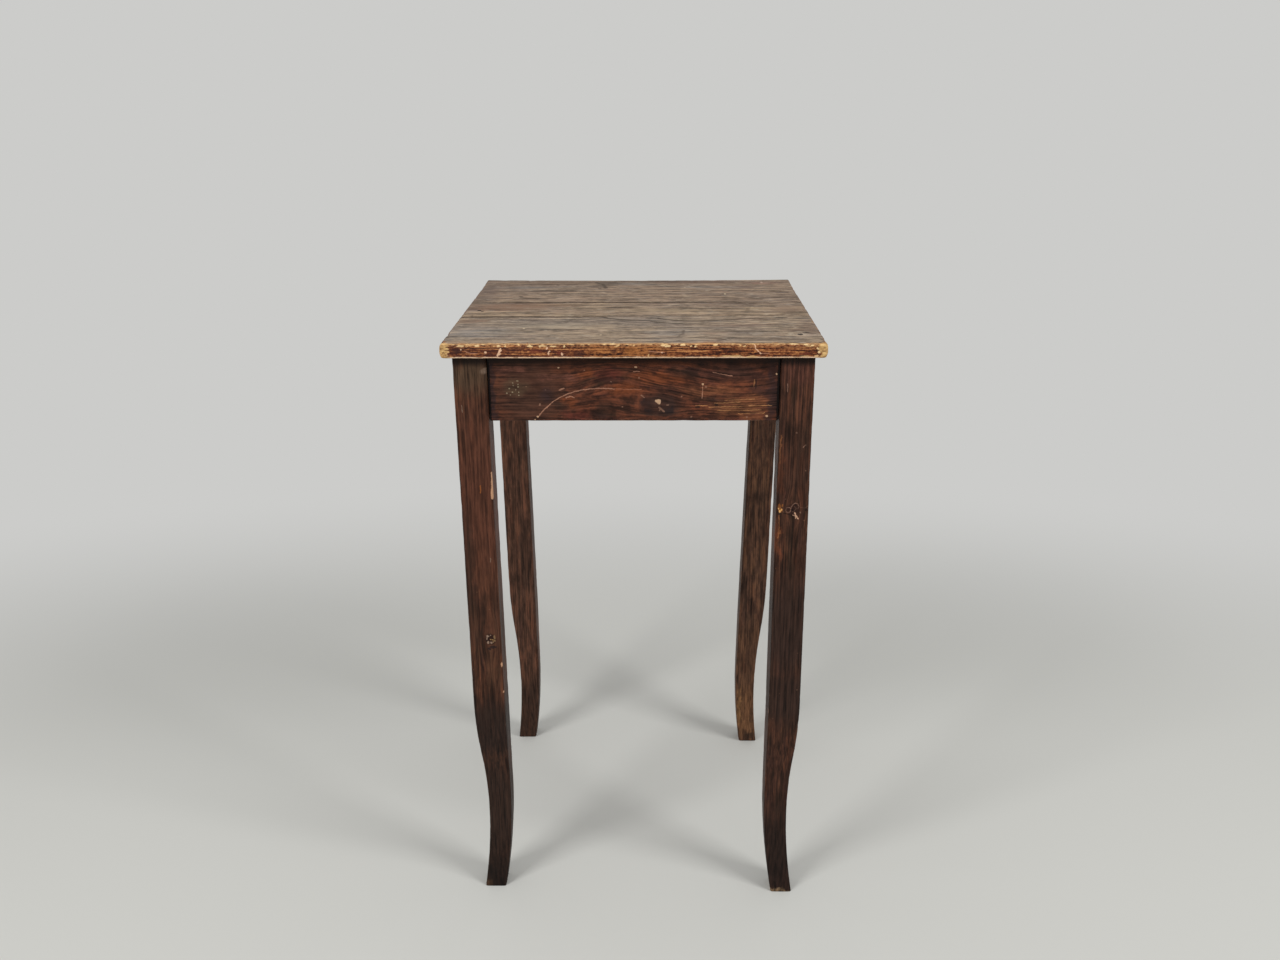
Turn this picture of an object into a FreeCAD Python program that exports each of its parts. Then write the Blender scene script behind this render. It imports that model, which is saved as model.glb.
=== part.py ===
"""A small country tavern table: a three-board top on four curved legs joined by tenoned aprons.

Frame: X runs along the front, Y from front to back, Z up. The origin lies on the floor under the
middle of the top. The boards are dowelled edge to edge. Glue blocks inside the aprons are screwed up
into them, and a notched block, screwed to two aprons, stiffens each corner. Lengths are millimetres.
"""

import FreeCAD, Part
import math
import os

import Sketcher

Vector = FreeCAD.Vector
Rotation = FreeCAD.Rotation
Placement = FreeCAD.Placement

# Driving dimensions: alias, value, meaning.
SIZES = (
    ("table_height", 750.0, "floor to the upper face of the top"),
    ("top_width", 436.0, "length of the top's boards, along X"),
    ("top_depth", 404.0, "front edge of the top to its back edge"),
    ("top_thickness", 17.0, "thickness of the boards"),
    ("front_board_left", 141.0, "width of the front board at its left end"),
    ("front_board_right", 151.0, "width of the front board at its right end"),
    ("back_board_width", 172.0, "width of the back board"),
    ("seam_gap", 0.3, "shrinkage gap between neighbouring boards"),
    ("top_arris", 2.0, "rounding of the top's upper and lower edges"),
    ("top_corner", 6.0, "rounding of the top's four corners in plan"),
    ("side_overhang", 13.0, "top beyond the legs at the left and right"),
    ("front_overhang", 9.0, "top beyond the legs at the front and back"),
    ("leg_size", 38.4, "side of a leg's square block"),
    ("calf_swell", 2.0, "a leg's inner face at the calf, inwards from the block's"),
    ("calf_height", 150.0, "where a leg's inner face starts to curve outwards"),
    ("heel_sweep", 11.4, "how far that curve has gone at the floor"),
    ("knee_height", 290.0, "where a leg's outer face leaves its line"),
    ("hollow_height", 120.0, "height of the deepest point of the ankle's hollow"),
    ("hollow_depth", 10.3, "depth of that hollow from the outer face's line"),
    ("toe_inset", 1.0, "the foot's outer face from that line, on the floor"),
    ("lean_front_left_a", 0.0, "inward lean of the front left foot, along the leg's x"),
    ("lean_front_left_b", 2.0, "the same along its y"),
    ("lean_front_right_a", -7.0, "inward lean of the front right foot, along the leg's x"),
    ("lean_front_right_b", -3.0, "the same along its y"),
    ("lean_back_right_a", 14.0, "inward lean of the back right foot, along the leg's x"),
    ("lean_back_right_b", 2.0, "the same along its y"),
    ("lean_back_left_a", -8.0, "inward lean of the back left foot, along the leg's x"),
    ("lean_back_left_b", 5.0, "the same along its y"),
    ("apron_height", 77.0, "height of the four aprons"),
    ("apron_thickness", 20.0, "thickness of the aprons"),
    ("apron_recess", 5.0, "apron's outer face behind the legs' outer faces"),
    ("shoulder_gap", 0.8, "open joint between an apron's shoulder and its leg"),
    ("tenon_thickness", 8.0, "thickness of the tenons"),
    ("tenon_haunch", 14.0, "tenon's top edge below the apron's top edge"),
    ("tenon_shoulder", 6.0, "tenon's bottom edge above the apron's bottom edge"),
    ("mitre_gap", 0.6, "tenon's tip from the end of its mortise"),
    ("corner_block_reach", 46.0, "corner block along an apron, from the leg's face"),
    ("corner_block_height", 45.0, "height of the corner blocks"),
    ("corner_screw_offset", 23.0, "corner screw's axis from the leg's face"),
    ("glue_block_size", 20.0, "height and depth of the glue blocks"),
    ("long_block", 70.0, "length of the front and back glue blocks"),
    ("long_block_offset", 60.0, "front and back glue blocks' centres from the middle"),
    ("side_block", 64.0, "length of the side glue blocks"),
    ("dowel_diameter", 8.0, "diameter of the seam dowels"),
    ("dowel_length", 40.0, "length of the seam dowels"),
    ("dowel_pitch", 150.0, "spacing of the dowels along a seam"),
    ("screw_cover", 5.0, "wood left between a top screw's point and the upper face"),
    ("screw_diameter", 4.0, "shank of the screws"),
    ("screw_head", 8.0, "diameter of the screws' heads"),
    ("screw_head_height", 2.4, "height of the countersunk heads"),
    ("screw_point", 5.0, "length of the screws' points"),
    ("slot_width", 1.0, "slot in a screw's head"),
    ("slot_depth", 1.1, "depth of that slot"),
    ("shank_clearance", 0.2, "play around a screw's shank in the block it holds"),
)

# Sizes that follow from the driving ones.
LEG_HEIGHT = "(dim.table_height - dim.top_thickness)"
APRON_BOTTOM = f"({LEG_HEIGHT} - dim.apron_height)"
FRAME_WIDTH = "(dim.top_width - 2 * dim.side_overhang)"
FRAME_DEPTH = "(dim.top_depth - 2 * dim.front_overhang)"
APRON_BACK = "(dim.apron_recess + dim.apron_thickness)"
TENON_SETBACK = "((dim.apron_thickness - dim.tenon_thickness) / 2)"
TENON_INSET = f"(dim.apron_recess + {TENON_SETBACK})"
TENON_HEIGHT = "(dim.apron_height - dim.tenon_haunch - dim.tenon_shoulder)"
CALF_SIZE = "(dim.leg_size + dim.calf_swell)"
GLUE_BLOCK_BOTTOM = f"({LEG_HEIGHT} - dim.glue_block_size)"
SCREW_LENGTH = "(dim.glue_block_size + dim.top_thickness - dim.screw_cover)"
FRONT_SEAM_RISE = "(dim.front_board_right - dim.front_board_left)"
FRONT_SEAM_Y = "((dim.front_board_left + dim.front_board_right - dim.top_depth + dim.seam_gap) / 2)"
BACK_SEAM_Y = "((dim.top_depth - dim.seam_gap) / 2 - dim.back_board_width)"

# The table's corners in turn, seen from above: name, signs of X and Y, turn about Z in degrees.
# Each corner's own x and y run inwards along the two outer faces of its leg.
CORNERS = (
    ("front_left", -1, -1, 0),
    ("front_right", 1, -1, 90),
    ("back_right", 1, 1, 180),
    ("back_left", -1, 1, 270),
)
# Its sides, each starting at the corner of the same place: name, length, signs, turn.
SIDES = (
    ("front", FRAME_WIDTH, 0, -1, 0),
    ("right", FRAME_DEPTH, 1, 0, 90),
    ("back", FRAME_WIDTH, 0, 1, 180),
    ("left", FRAME_DEPTH, -1, 0, 270),
)

# Ends of a sketched line or arc, and the kinds of piece in a leg's outline.
START, END = 1, 2
LINE, LEAVING, JOINING = "line", "arc leaving the last piece", "arc joining the next piece"
TOLERANCE = 1e-4
UPRIGHT_XZ = Rotation(Vector(1, 0, 0), 90)
UPRIGHT_YZ = Rotation(Vector(1, 1, 1), 120)
UPWARDS = Rotation()
ALONG_Y = Rotation(Vector(1, 0, 0), -90)

doc = FreeCAD.newDocument("tavern_table")
sheet = doc.addObject("Spreadsheet::Sheet", "dim")
nodes = []


def fill_sheet():
    """Writes the driving dimensions into the sheet, one aliased row each."""
    for row, (alias, value, meaning) in enumerate(SIZES, start=1):
        sheet.set(f"A{row}", alias)
        sheet.set(f"B{row}", str(value))
        sheet.set(f"C{row}", meaning)
        sheet.setAlias(f"B{row}", alias)
    doc.recompute()


def number(expression):
    """The value of an expression on the sheet."""
    return float(sheet.evalExpression(expression))


def place(item, spot, rotation=None):
    """Binds an object's position to three expressions, keeping or setting how it is turned."""
    item.Placement = Placement(Vector(), rotation or item.Placement.Rotation)
    for axis, value in zip("xyz", spot):
        item.setExpression(f"Placement.Base.{axis}", value)
    return item


def about_z(degrees):
    """A turn about the upright axis."""
    return Rotation(Vector(0, 0, 1), degrees)


def node(item, name):
    """Makes an object one of the table's pieces, under its own name."""
    item.Label = name
    nodes.append(item)
    return item


def bundle(name, members):
    """Several solids as one object."""
    item = doc.addObject("Part::Compound", name)
    item.Links = members
    return item


def boolean(kind, name, base, tools):
    """A Part boolean of a base with one tool, or with several at once."""
    item = doc.addObject(kind, name)
    item.Base = base
    item.Tool = tools[0] if len(tools) == 1 else bundle(name + "_tools", tools)
    return item


def box(name, low, size):
    """A block from its low corner and its size, each three expressions."""
    item = doc.addObject("Part::Box", name)
    for side, value in zip(("Length", "Width", "Height"), size):
        item.setExpression(side, value)
    return place(item, low)


# Sketches


def pin(sketch, geometry, end, spot):
    """Holds one end of a sketched line or arc at a pair of expressions."""
    for kind, value in zip(("DistanceX", "DistanceY"), spot):
        held = Sketcher.Constraint(kind, -1, START, geometry, end, number(value))
        sketch.setExpression(f"Constraints[{sketch.addConstraint(held)}]", value)


def polygon(sketch, corners):
    """Draws a closed polygon through corners, each a pair of expressions."""
    points = [Vector(number(x), number(y), 0) for x, y in corners]
    count = len(points)
    for i in range(count):
        sketch.addGeometry(Part.LineSegment(points[i], points[(i + 1) % count]), False)
    for i in range(count):
        sketch.addConstraint(Sketcher.Constraint("Coincident", i, END, (i + 1) % count, START))
        pin(sketch, i, START, corners[i])


def body_with_sketch(name):
    """A body, and a sketch on its own ground plane."""
    body = doc.addObject("PartDesign::Body", name)
    return body, ground_sketch(body, name + "_plan")


def ground_sketch(body, name):
    """A sketch on a body's own ground plane."""
    sketch = body.newObject("Sketcher::SketchObject", name)
    plane = [f for f in body.Origin.OriginFeatures if f.Role == "XY_Plane"][0]
    sketch.AttachmentSupport = [(plane, "")]
    sketch.MapMode = "FlatFace"
    return sketch


def pad(body, sketch, height):
    """Pads a body's sketch upwards by an expression."""
    feature = body.newObject("PartDesign::Pad", sketch.Name + "_pad")
    feature.Profile = sketch
    feature.setExpression("Length", height)
    doc.recompute()
    return feature


# Screws


def turned(name, profile):
    """A solid turned about Z from a profile of radii and heights, all expressions."""
    sketch = doc.addObject("Sketcher::SketchObject", name + "_profile")
    sketch.Placement = Placement(Vector(), UPRIGHT_XZ)
    polygon(sketch, profile)
    item = doc.addObject("Part::Revolution", name)
    item.Source = sketch
    item.Axis = Vector(0, 0, 1)
    item.Base = Vector()
    item.Angle = 360
    item.Solid = True
    return item


def screw_master():
    """A slotted countersunk screw: its head's face at the origin, its point towards +Z."""
    blank = turned("screw_blank", (
        ("0", "0"),
        ("dim.screw_head / 2", "0"),
        ("dim.screw_diameter / 2", "dim.screw_head_height"),
        ("dim.screw_diameter / 2", f"{SCREW_LENGTH} - dim.screw_point"),
        ("0", SCREW_LENGTH),
    ))
    slot = box("screw_slot",
               ("-dim.screw_head", "-dim.slot_width / 2", "-dim.slot_depth"),
               ("2 * dim.screw_head", "dim.slot_width", "2 * dim.slot_depth"))
    return boolean("Part::Cut", "screw_master", blank, [slot])


def bore_master():
    """The hole in a block for a screw: a channel behind the head, its seat, and the shank's way."""
    shank = "dim.screw_diameter / 2 + dim.shank_clearance"
    return turned("bore_master", (
        ("0", "-dim.corner_block_reach"),
        ("dim.screw_head / 2", "-dim.corner_block_reach"),
        ("dim.screw_head / 2", "0"),
        (shank, "dim.screw_head_height"),
        (shank, SCREW_LENGTH),
        ("0", SCREW_LENGTH),
    ))


def pilot_master():
    """The hole that a screw fills in the wood it bites."""
    return turned("pilot_master", (
        ("0", "dim.screw_head_height"),
        ("dim.screw_diameter / 2", "dim.screw_head_height"),
        ("dim.screw_diameter / 2", SCREW_LENGTH),
        ("0", SCREW_LENGTH),
    ))


def copies(master, name, aims):
    """Linked copies of a master, one for each aim: a position and a rotation."""
    made = []
    for i, (spot, rotation) in enumerate(aims, start=1):
        link = doc.addObject("App::Link", f"{name}_{i}")
        link.LinkedObject = master
        made.append(place(link, spot, rotation))
    return made


# Legs


def arc_from(start, heading, end):
    """The arc that leaves start along heading and reaches end, and its heading there."""
    chord = end - start
    along = Vector(chord).normalize()
    across = Vector(-along.y, along.x, 0)
    swing = math.atan2(heading.dot(across), heading.dot(along))
    middle = start + chord * 0.5 + across * (chord.Length / 2 * math.tan(swing / 2))
    return Part.Arc(start, middle, end), about_z(-2 * math.degrees(swing)).multVec(heading)


def leg_profile(name, lean, rotation):
    """One view of a leg: block, knee, hollow ankle, foot and calf, leaning from the block down."""
    def leaning(inwards, height):
        """A point of the upright leg, carried inwards by the lean."""
        return f"{inwards} + {lean} * (1 - ({height}) / {APRON_BOTTOM})", height

    # The outline from the block's upper outer corner round the foot and back: the kind of each
    # piece and the spot that it runs to. Arcs run on smoothly from, or into, their neighbour.
    steps = (
        (LINE, ("0", APRON_BOTTOM)),
        (LINE, leaning("0", "dim.knee_height")),
        (LEAVING, leaning("dim.hollow_depth / 2", "(dim.knee_height + dim.hollow_height) / 2")),
        (LEAVING, leaning("dim.hollow_depth", "dim.hollow_height")),
        (LEAVING, leaning("dim.toe_inset", "0")),
        (LINE, leaning(f"({CALF_SIZE} - dim.heel_sweep)", "0")),
        (JOINING, leaning(CALF_SIZE, "dim.calf_height")),
        (LINE, ("dim.leg_size", APRON_BOTTOM)),
        (LINE, ("dim.leg_size", LEG_HEIGHT)),
        (LINE, ("0", LEG_HEIGHT)),
    )
    points = [Vector(number(x), number(y), 0) for _, (x, y) in steps]
    pieces = []
    heading = None
    for i, (kind, _) in enumerate(steps):
        start, end = points[i - 1], points[i]
        if kind == LEAVING:
            piece, heading = arc_from(start, heading, end)
        elif kind == JOINING:
            piece, _ = arc_from(end, end - points[i + 1], start)
        else:
            piece, heading = Part.LineSegment(start, end), end - start
        pieces.append(piece)

    sketch = doc.addObject("Sketcher::SketchObject", name)
    sketch.Placement = Placement(Vector(), rotation)
    for piece in pieces:
        sketch.addGeometry(piece, False)

    def at(index, spot):
        """Which end of a piece lies at a spot."""
        from_start = (sketch.getPoint(index, START) - spot).Length
        return START if from_start < (sketch.getPoint(index, END) - spot).Length else END

    for i, (point, (kind, spot)) in enumerate(zip(points, steps)):
        following = (i + 1) % len(points)
        smooth = kind == JOINING or steps[following][0] == LEAVING
        ends = (i, at(i, point), following, at(following, point))
        sketch.addConstraint(Sketcher.Constraint("Tangent" if smooth else "Coincident", *ends))
        pin(sketch, i, at(i, point), spot)
    return sketch


def sawn(name, lean, rotation, direction):
    """One view of a leg, sawn right through the blank."""
    item = doc.addObject("Part::Extrusion", name)
    item.Base = leg_profile(name + "_view", lean, rotation)
    item.DirMode = "Custom"
    item.Dir = direction
    item.setExpression("LengthFwd", "2 * dim.leg_size")
    item.setExpression("LengthRev", "dim.leg_size")
    item.Solid = True
    return item


def add_leg(corner, x_sign, y_sign, turn):
    """A leg: its two sawn views crossed, with a mortise in each inner face."""
    name = f"leg_{corner}"
    views = (
        sawn(name + "_a", f"dim.lean_{corner}_a", UPRIGHT_XZ, Vector(0, 1, 0)),
        sawn(name + "_b", f"dim.lean_{corner}_b", UPRIGHT_YZ, Vector(1, 0, 0)),
    )
    blank = boolean("Part::Common", name + "_blank", views[0], [views[1]])
    low = (TENON_INSET, TENON_INSET, f"{APRON_BOTTOM} + dim.tenon_shoulder")
    length = f"dim.leg_size - {TENON_INSET}"
    mortises = [
        box(name + "_mortise_a", low, (length, "dim.tenon_thickness", TENON_HEIGHT)),
        box(name + "_mortise_b", low, ("dim.tenon_thickness", length, TENON_HEIGHT)),
    ]
    leg = boolean("Part::Cut", name, blank, mortises)
    node(place(leg, corner_spot(x_sign, y_sign, "0"), about_z(turn)), name)


def corner_spot(x_sign, y_sign, height):
    """The outer corner of a leg's block, at a height."""
    return f"{x_sign} * {FRAME_WIDTH} / 2", f"{y_sign} * {FRAME_DEPTH} / 2", height


# Aprons and corner blocks


def add_apron(side, span, x_sign, y_sign, turn, pilots):
    """An apron with a mitred tenon at each end; its own y runs inwards from its outer face."""
    name = f"apron_{side}"
    body, board = body_with_sketch(name + "_blank")
    half = f"({span} / 2 - dim.leg_size - dim.shoulder_gap)"
    polygon(board, (
        (f"-{half}", "0"),
        (half, "0"),
        (half, "dim.apron_thickness"),
        (f"-{half}", "dim.apron_thickness"),
    ))
    pad(body, board, "dim.apron_height")
    tenons = ground_sketch(body, name + "_tenons")
    outer_tip = f"({span} / 2 - {TENON_INSET} - dim.mitre_gap)"
    inner_tip = f"({outer_tip} - dim.tenon_thickness)"
    polygon(tenons, (
        (f"-{outer_tip}", TENON_SETBACK),
        (outer_tip, TENON_SETBACK),
        (inner_tip, f"{TENON_SETBACK} + dim.tenon_thickness"),
        (f"-{inner_tip}", f"{TENON_SETBACK} + dim.tenon_thickness"),
    ))
    tenons.setExpression("AttachmentOffset.Base.z", "dim.tenon_shoulder")
    pad(body, tenons, TENON_HEIGHT)
    spot = (
        f"{x_sign} * ({FRAME_WIDTH} / 2 - dim.apron_recess)",
        f"{y_sign} * ({FRAME_DEPTH} / 2 - dim.apron_recess)",
        APRON_BOTTOM,
    )
    node(boolean("Part::Cut", name, place(body, spot, about_z(turn)), pilots), name)


def add_corner_block(corner, x_sign, y_sign, turn, bores):
    """A three-cornered block between two aprons, notched round the leg."""
    name = f"corner_block_{corner}"
    body, sketch = body_with_sketch(name + "_blank")
    reach = "(dim.leg_size + dim.corner_block_reach)"
    polygon(sketch, (
        (APRON_BACK, "dim.leg_size"),
        ("dim.leg_size", "dim.leg_size"),
        ("dim.leg_size", APRON_BACK),
        (reach, APRON_BACK),
        (APRON_BACK, reach),
    ))
    pad(body, sketch, "dim.corner_block_height")
    spot = corner_spot(x_sign, y_sign, f"{LEG_HEIGHT} - dim.corner_block_height")
    node(boolean("Part::Cut", name, place(body, spot, about_z(turn)), bores), name)


def corner_aims(x_sign, y_sign, turn):
    """Where a corner's two screws start and point: one to each apron, the next side's first."""
    along = "(dim.leg_size + dim.corner_screw_offset)"
    inwards = f"({APRON_BACK} + dim.glue_block_size)"
    height = f"{LEG_HEIGHT} - dim.corner_block_height / 2"
    aims = []
    for own_x, own_y, bearing in ((along, inwards, turn - 90), (inwards, along, turn + 180)):
        inward_x, inward_y = (own_x, own_y) if turn % 180 == 0 else (own_y, own_x)
        spot = (
            f"{x_sign} * ({FRAME_WIDTH} / 2 - {inward_x})",
            f"{y_sign} * ({FRAME_DEPTH} / 2 - {inward_y})",
            height,
        )
        aims.append((spot, about_z(bearing) * Rotation(Vector(0, 1, 0), 90)))
    return aims


# Glue blocks


def glue_blocks():
    """Name, centre and half size of each glue block, in X and Y, all expressions."""
    half = "(dim.glue_block_size / 2)"
    inner_x = f"({FRAME_WIDTH} / 2 - {APRON_BACK} - {half})"
    inner_y = f"({FRAME_DEPTH} / 2 - {APRON_BACK} - {half})"
    blocks = []
    for hand, x_sign in (("left", "-1"), ("right", "1")):
        for side, y_sign in (("front", "-1"), ("back", "1")):
            middle = f"{x_sign} * dim.long_block_offset", f"{y_sign} * {inner_y}"
            blocks.append((f"{side}_{hand}", middle, ("(dim.long_block / 2)", half)))
        middle = f"{x_sign} * {inner_x}", f"({FRONT_SEAM_Y} + {BACK_SEAM_Y}) / 2"
        blocks.append((hand, middle, (half, "(dim.side_block / 2)")))
    return blocks


def add_glue_block(where, middle, half, bore):
    """A block in the angle between the top and an apron."""
    name = f"glue_block_{where}"
    low = f"{middle[0]} - {half[0]}", f"{middle[1]} - {half[1]}", GLUE_BLOCK_BOTTOM
    size = f"2 * {half[0]}", f"2 * {half[1]}", "dim.glue_block_size"
    node(boolean("Part::Cut", name, box(name + "_blank", low, size), [bore]), name)


# Top


def free_edges(shape, seams, upright):
    """Names of a board's upright or level edges, leaving out those that lie on its seams."""
    def on_seam(edge, ends):
        """Whether both ends of an edge lie on the line between a seam's two end points."""
        left, right = ends
        slope = (right - left) / number("dim.top_width")
        level = (left + right) / 2
        return all(abs(v.Y - level - slope * v.X) < TOLERANCE for v in edge.Vertexes)

    lines = [(number(left), number(right)) for left, right in seams]
    names = []
    for i, edge in enumerate(shape.Edges, start=1):
        is_upright = edge.BoundBox.ZLength > TOLERANCE
        if is_upright == upright and not any(on_seam(edge, line) for line in lines):
            names.append(f"Edge{i}")
    return names


def rounded(body, feature, edges, radius):
    """Rounds a body's edges by an expression; a board with none of them stays as it is."""
    if not edges:
        return feature
    fillet = body.newObject("PartDesign::Fillet", f"{body.Name}_{radius.split('.')[1]}")
    fillet.Base = (feature, edges)
    fillet.setExpression("Radius", radius)
    doc.recompute()
    return fillet


def add_board(where, front, back, seams, holes):
    """A top board between two edges, each given by its Y at the left and right ends."""
    name = f"top_board_{where}"
    body, sketch = body_with_sketch(name + "_blank")
    polygon(sketch, (
        ("-dim.top_width / 2", front[0]),
        ("dim.top_width / 2", front[1]),
        ("dim.top_width / 2", back[1]),
        ("-dim.top_width / 2", back[0]),
    ))
    feature = pad(body, sketch, "dim.top_thickness")
    feature = rounded(body, feature, free_edges(feature.Shape, seams, True), "dim.top_corner")
    rounded(body, feature, free_edges(feature.Shape, seams, False), "dim.top_arris")
    node(boolean("Part::Cut", name, place(body, ("0", "0", LEG_HEIGHT)), holes), name)


def add_top(pilots):
    """Three boards and the dowels across their two seams."""
    front_seam = (f"{FRONT_SEAM_Y} - {FRONT_SEAM_RISE} / 2", f"{FRONT_SEAM_Y} + {FRONT_SEAM_RISE} / 2")
    back_seam = (BACK_SEAM_Y, BACK_SEAM_Y)

    def beside(seam, side):
        """A seam's line at the board edge in front of it (-1) or behind it (1)."""
        return tuple(f"{y} + {side} * dim.seam_gap / 2" for y in seam)

    edge = tuple(f"{side} * dim.top_depth / 2" for side in (-1, 1))
    dowels = [
        add_dowels("front_seam_dowels", FRONT_SEAM_Y, FRONT_SEAM_RISE),
        add_dowels("back_seam_dowels", BACK_SEAM_Y, "0"),
    ]
    holes = dowels + pilots
    before_front, behind_front = beside(front_seam, -1), beside(front_seam, 1)
    before_back, behind_back = beside(back_seam, -1), beside(back_seam, 1)
    add_board("front", (edge[0], edge[0]), before_front, [before_front], holes)
    add_board("middle", behind_front, before_back, [behind_front, before_back], holes)
    add_board("back", behind_back, (edge[1], edge[1]), [behind_back], holes)


def add_dowels(name, seam, rise):
    """Dowels across a seam that climbs in Y by a rise over the top's width."""
    dowels = []
    for step in (-1, 0, 1):
        dowel = doc.addObject("Part::Cylinder", f"{name}_{step + 2}")
        dowel.setExpression("Radius", "dim.dowel_diameter / 2")
        dowel.setExpression("Height", "dim.dowel_length")
        along = f"{step} * dim.dowel_pitch"
        across = f"{seam} + {rise} * {along} / dim.top_width - dim.dowel_length / 2"
        height = "dim.table_height - dim.top_thickness / 2"
        dowels.append(place(dowel, (along, across, height), ALONG_Y))
    return node(bundle(name, dowels), name)


def check_and_write():
    """Stops on a failed object or shape, then writes one STEP file for each piece."""
    doc.recompute()
    failed = [item.Name for item in doc.Objects if {"Invalid", "Error"} & set(item.State)]
    if failed:
        raise SystemExit(f"failed objects: {failed}")
    os.makedirs("parts", exist_ok=True)
    for item in nodes:
        shape = item.Shape
        if shape.isNull() or not shape.isValid() or not shape.Solids:
            raise SystemExit(f"{item.Label} has no valid shape")
        shape.exportStep(f"parts/{item.Label}.step")
        print(f"{item.Label}: {len(shape.Solids)} solids, {shape.Volume:.0f} mm3")


def build():
    """Builds every piece of the table."""
    fill_sheet()
    screw, bore, pilot = screw_master(), bore_master(), pilot_master()

    blocks = glue_blocks()
    aims = [((*middle, GLUE_BLOCK_BOTTOM), UPWARDS) for _, middle, _ in blocks]
    node(bundle("top_screws", copies(screw, "top_screw", aims)), "top_screws")
    add_top(copies(pilot, "top_pilot", aims))
    for block, hole in zip(blocks, copies(bore, "top_bore", aims)):
        add_glue_block(*block, hole)

    screws = []
    pilots = {side[0]: [] for side in SIDES}
    for i, (corner, x_sign, y_sign, turn) in enumerate(CORNERS):
        aims = corner_aims(x_sign, y_sign, turn)
        screws += copies(screw, f"screw_{corner}", aims)
        bores = copies(bore, f"bore_{corner}", aims)
        bites = copies(pilot, f"pilot_{corner}", aims)
        for side, bite in zip((SIDES[i][0], SIDES[i - 1][0]), bites):
            pilots[side].append(bite)
        add_leg(corner, x_sign, y_sign, turn)
        add_corner_block(corner, x_sign, y_sign, turn, bores)
    for side in SIDES:
        add_apron(*side, pilots[side[0]])
    node(bundle("corner_block_screws", screws), "corner_block_screws")
    check_and_write()


build()
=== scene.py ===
"""A tavern table: a weathered three-board top on four curved, dark-stained legs joined by aprons.

Lengths are metres, and marks are laid out in millimetres. Colours are red, green and blue as a
screen shows them, from 0 to 255. X runs along the front, Y from front to back and Z up. The origin
lies on the floor under the middle of the top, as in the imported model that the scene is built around.
"""

import logging
import math
from collections.abc import Callable, Iterable, Sequence
from dataclasses import dataclass, replace
from enum import Enum
from typing import NamedTuple

import bmesh
import bpy
from mathutils import Matrix, Vector, noise


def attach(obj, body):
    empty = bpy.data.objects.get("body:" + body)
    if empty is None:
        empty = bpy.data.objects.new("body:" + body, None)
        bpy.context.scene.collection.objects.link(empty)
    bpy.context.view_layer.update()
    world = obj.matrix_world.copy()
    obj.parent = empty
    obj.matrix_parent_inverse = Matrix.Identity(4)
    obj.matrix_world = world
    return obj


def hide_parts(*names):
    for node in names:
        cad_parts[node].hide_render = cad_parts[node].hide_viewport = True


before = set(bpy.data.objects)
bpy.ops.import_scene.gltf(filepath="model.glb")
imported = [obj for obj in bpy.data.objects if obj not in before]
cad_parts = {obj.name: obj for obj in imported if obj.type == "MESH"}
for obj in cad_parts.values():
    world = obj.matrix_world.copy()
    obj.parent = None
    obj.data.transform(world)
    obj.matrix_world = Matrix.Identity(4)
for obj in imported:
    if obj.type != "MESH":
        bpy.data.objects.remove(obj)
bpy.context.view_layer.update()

log = logging.getLogger("tavern_table")

Colour = tuple[float, float, float]
Point = tuple[float, float, float]
Spot = tuple[float, float, float, float]
Line = tuple[float | tuple[float, float], ...]
MM = 0.001

# What several pieces share: the top's size and levels, the outside of the frame below it from leg to
# leg, a leg's thickness, and the level that the aprons and the legs' square blocks start at.
TOP_WIDTH = 0.436
TOP_DEPTH = 0.404
TOP_LOW = 0.733
TOP_HIGH = 0.750
FRAME_SIZE = (0.410, 0.386)
LEG_SIZE = 0.0384
APRON_LOW = 0.656


def linear(colour: Colour) -> Colour:
    """A colour's linear light, from 0 to 1."""
    levels = (level / 255 for level in colour)
    return tuple(v / 12.92 if v <= 0.04045 else ((v + 0.055) / 1.055) ** 2.4 for v in levels)


# Shader building


@dataclass(frozen=True)
class Sock:
    """An output socket in a material, with the arithmetic that the finishes use."""

    paint: "Paint"
    socket: bpy.types.NodeSocket

    def __add__(self, other: "Value") -> "Sock":
        """This plus another value."""
        return self.paint.maths("ADD", self, other)

    __radd__ = __add__

    def __sub__(self, other: "Value") -> "Sock":
        """This less another value."""
        return self.paint.maths("SUBTRACT", self, other)

    def __rsub__(self, other: "Value") -> "Sock":
        """Another value less this."""
        return self.paint.maths("SUBTRACT", other, self)

    def __mul__(self, other: "Value") -> "Sock":
        """This times another value."""
        return self.paint.maths("MULTIPLY", self, other)

    __rmul__ = __mul__

    def __truediv__(self, other: "Value") -> "Sock":
        """This over another value."""
        return self.paint.maths("DIVIDE", self, other)

    def __pow__(self, other: float) -> "Sock":
        """This to a power."""
        return self.paint.maths("POWER", self, other)

    def least(self, other: "Value") -> "Sock":
        """The lower of this and another value."""
        return self.paint.maths("MINIMUM", self, other)

    def most(self, other: "Value") -> "Sock":
        """The higher of this and another value."""
        return self.paint.maths("MAXIMUM", self, other)

    def size(self) -> "Sock":
        """This without its sign."""
        return self.paint.maths("ABSOLUTE", self)

    def part(self) -> "Sock":
        """What this has beyond a whole number."""
        return self.paint.maths("FRACT", self)

    def whole(self) -> "Sock":
        """The whole number below this."""
        return self.paint.maths("FLOOR", self)

    def length(self) -> "Sock":
        """A vector's length."""
        return self.paint.measure("LENGTH", self)

    def rise(self, low: "Value", high: "Value") -> "Sock":
        """0 where this is below low, 1 above high, and smooth between."""
        return self.paint.spread(self, low, high, 0.0, 1.0)

    def fall(self, low: "Value", high: "Value") -> "Sock":
        """1 where this is below low, 0 above high, and smooth between."""
        return self.paint.spread(self, low, high, 1.0, 0.0)


Value = Sock | float | Point


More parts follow.
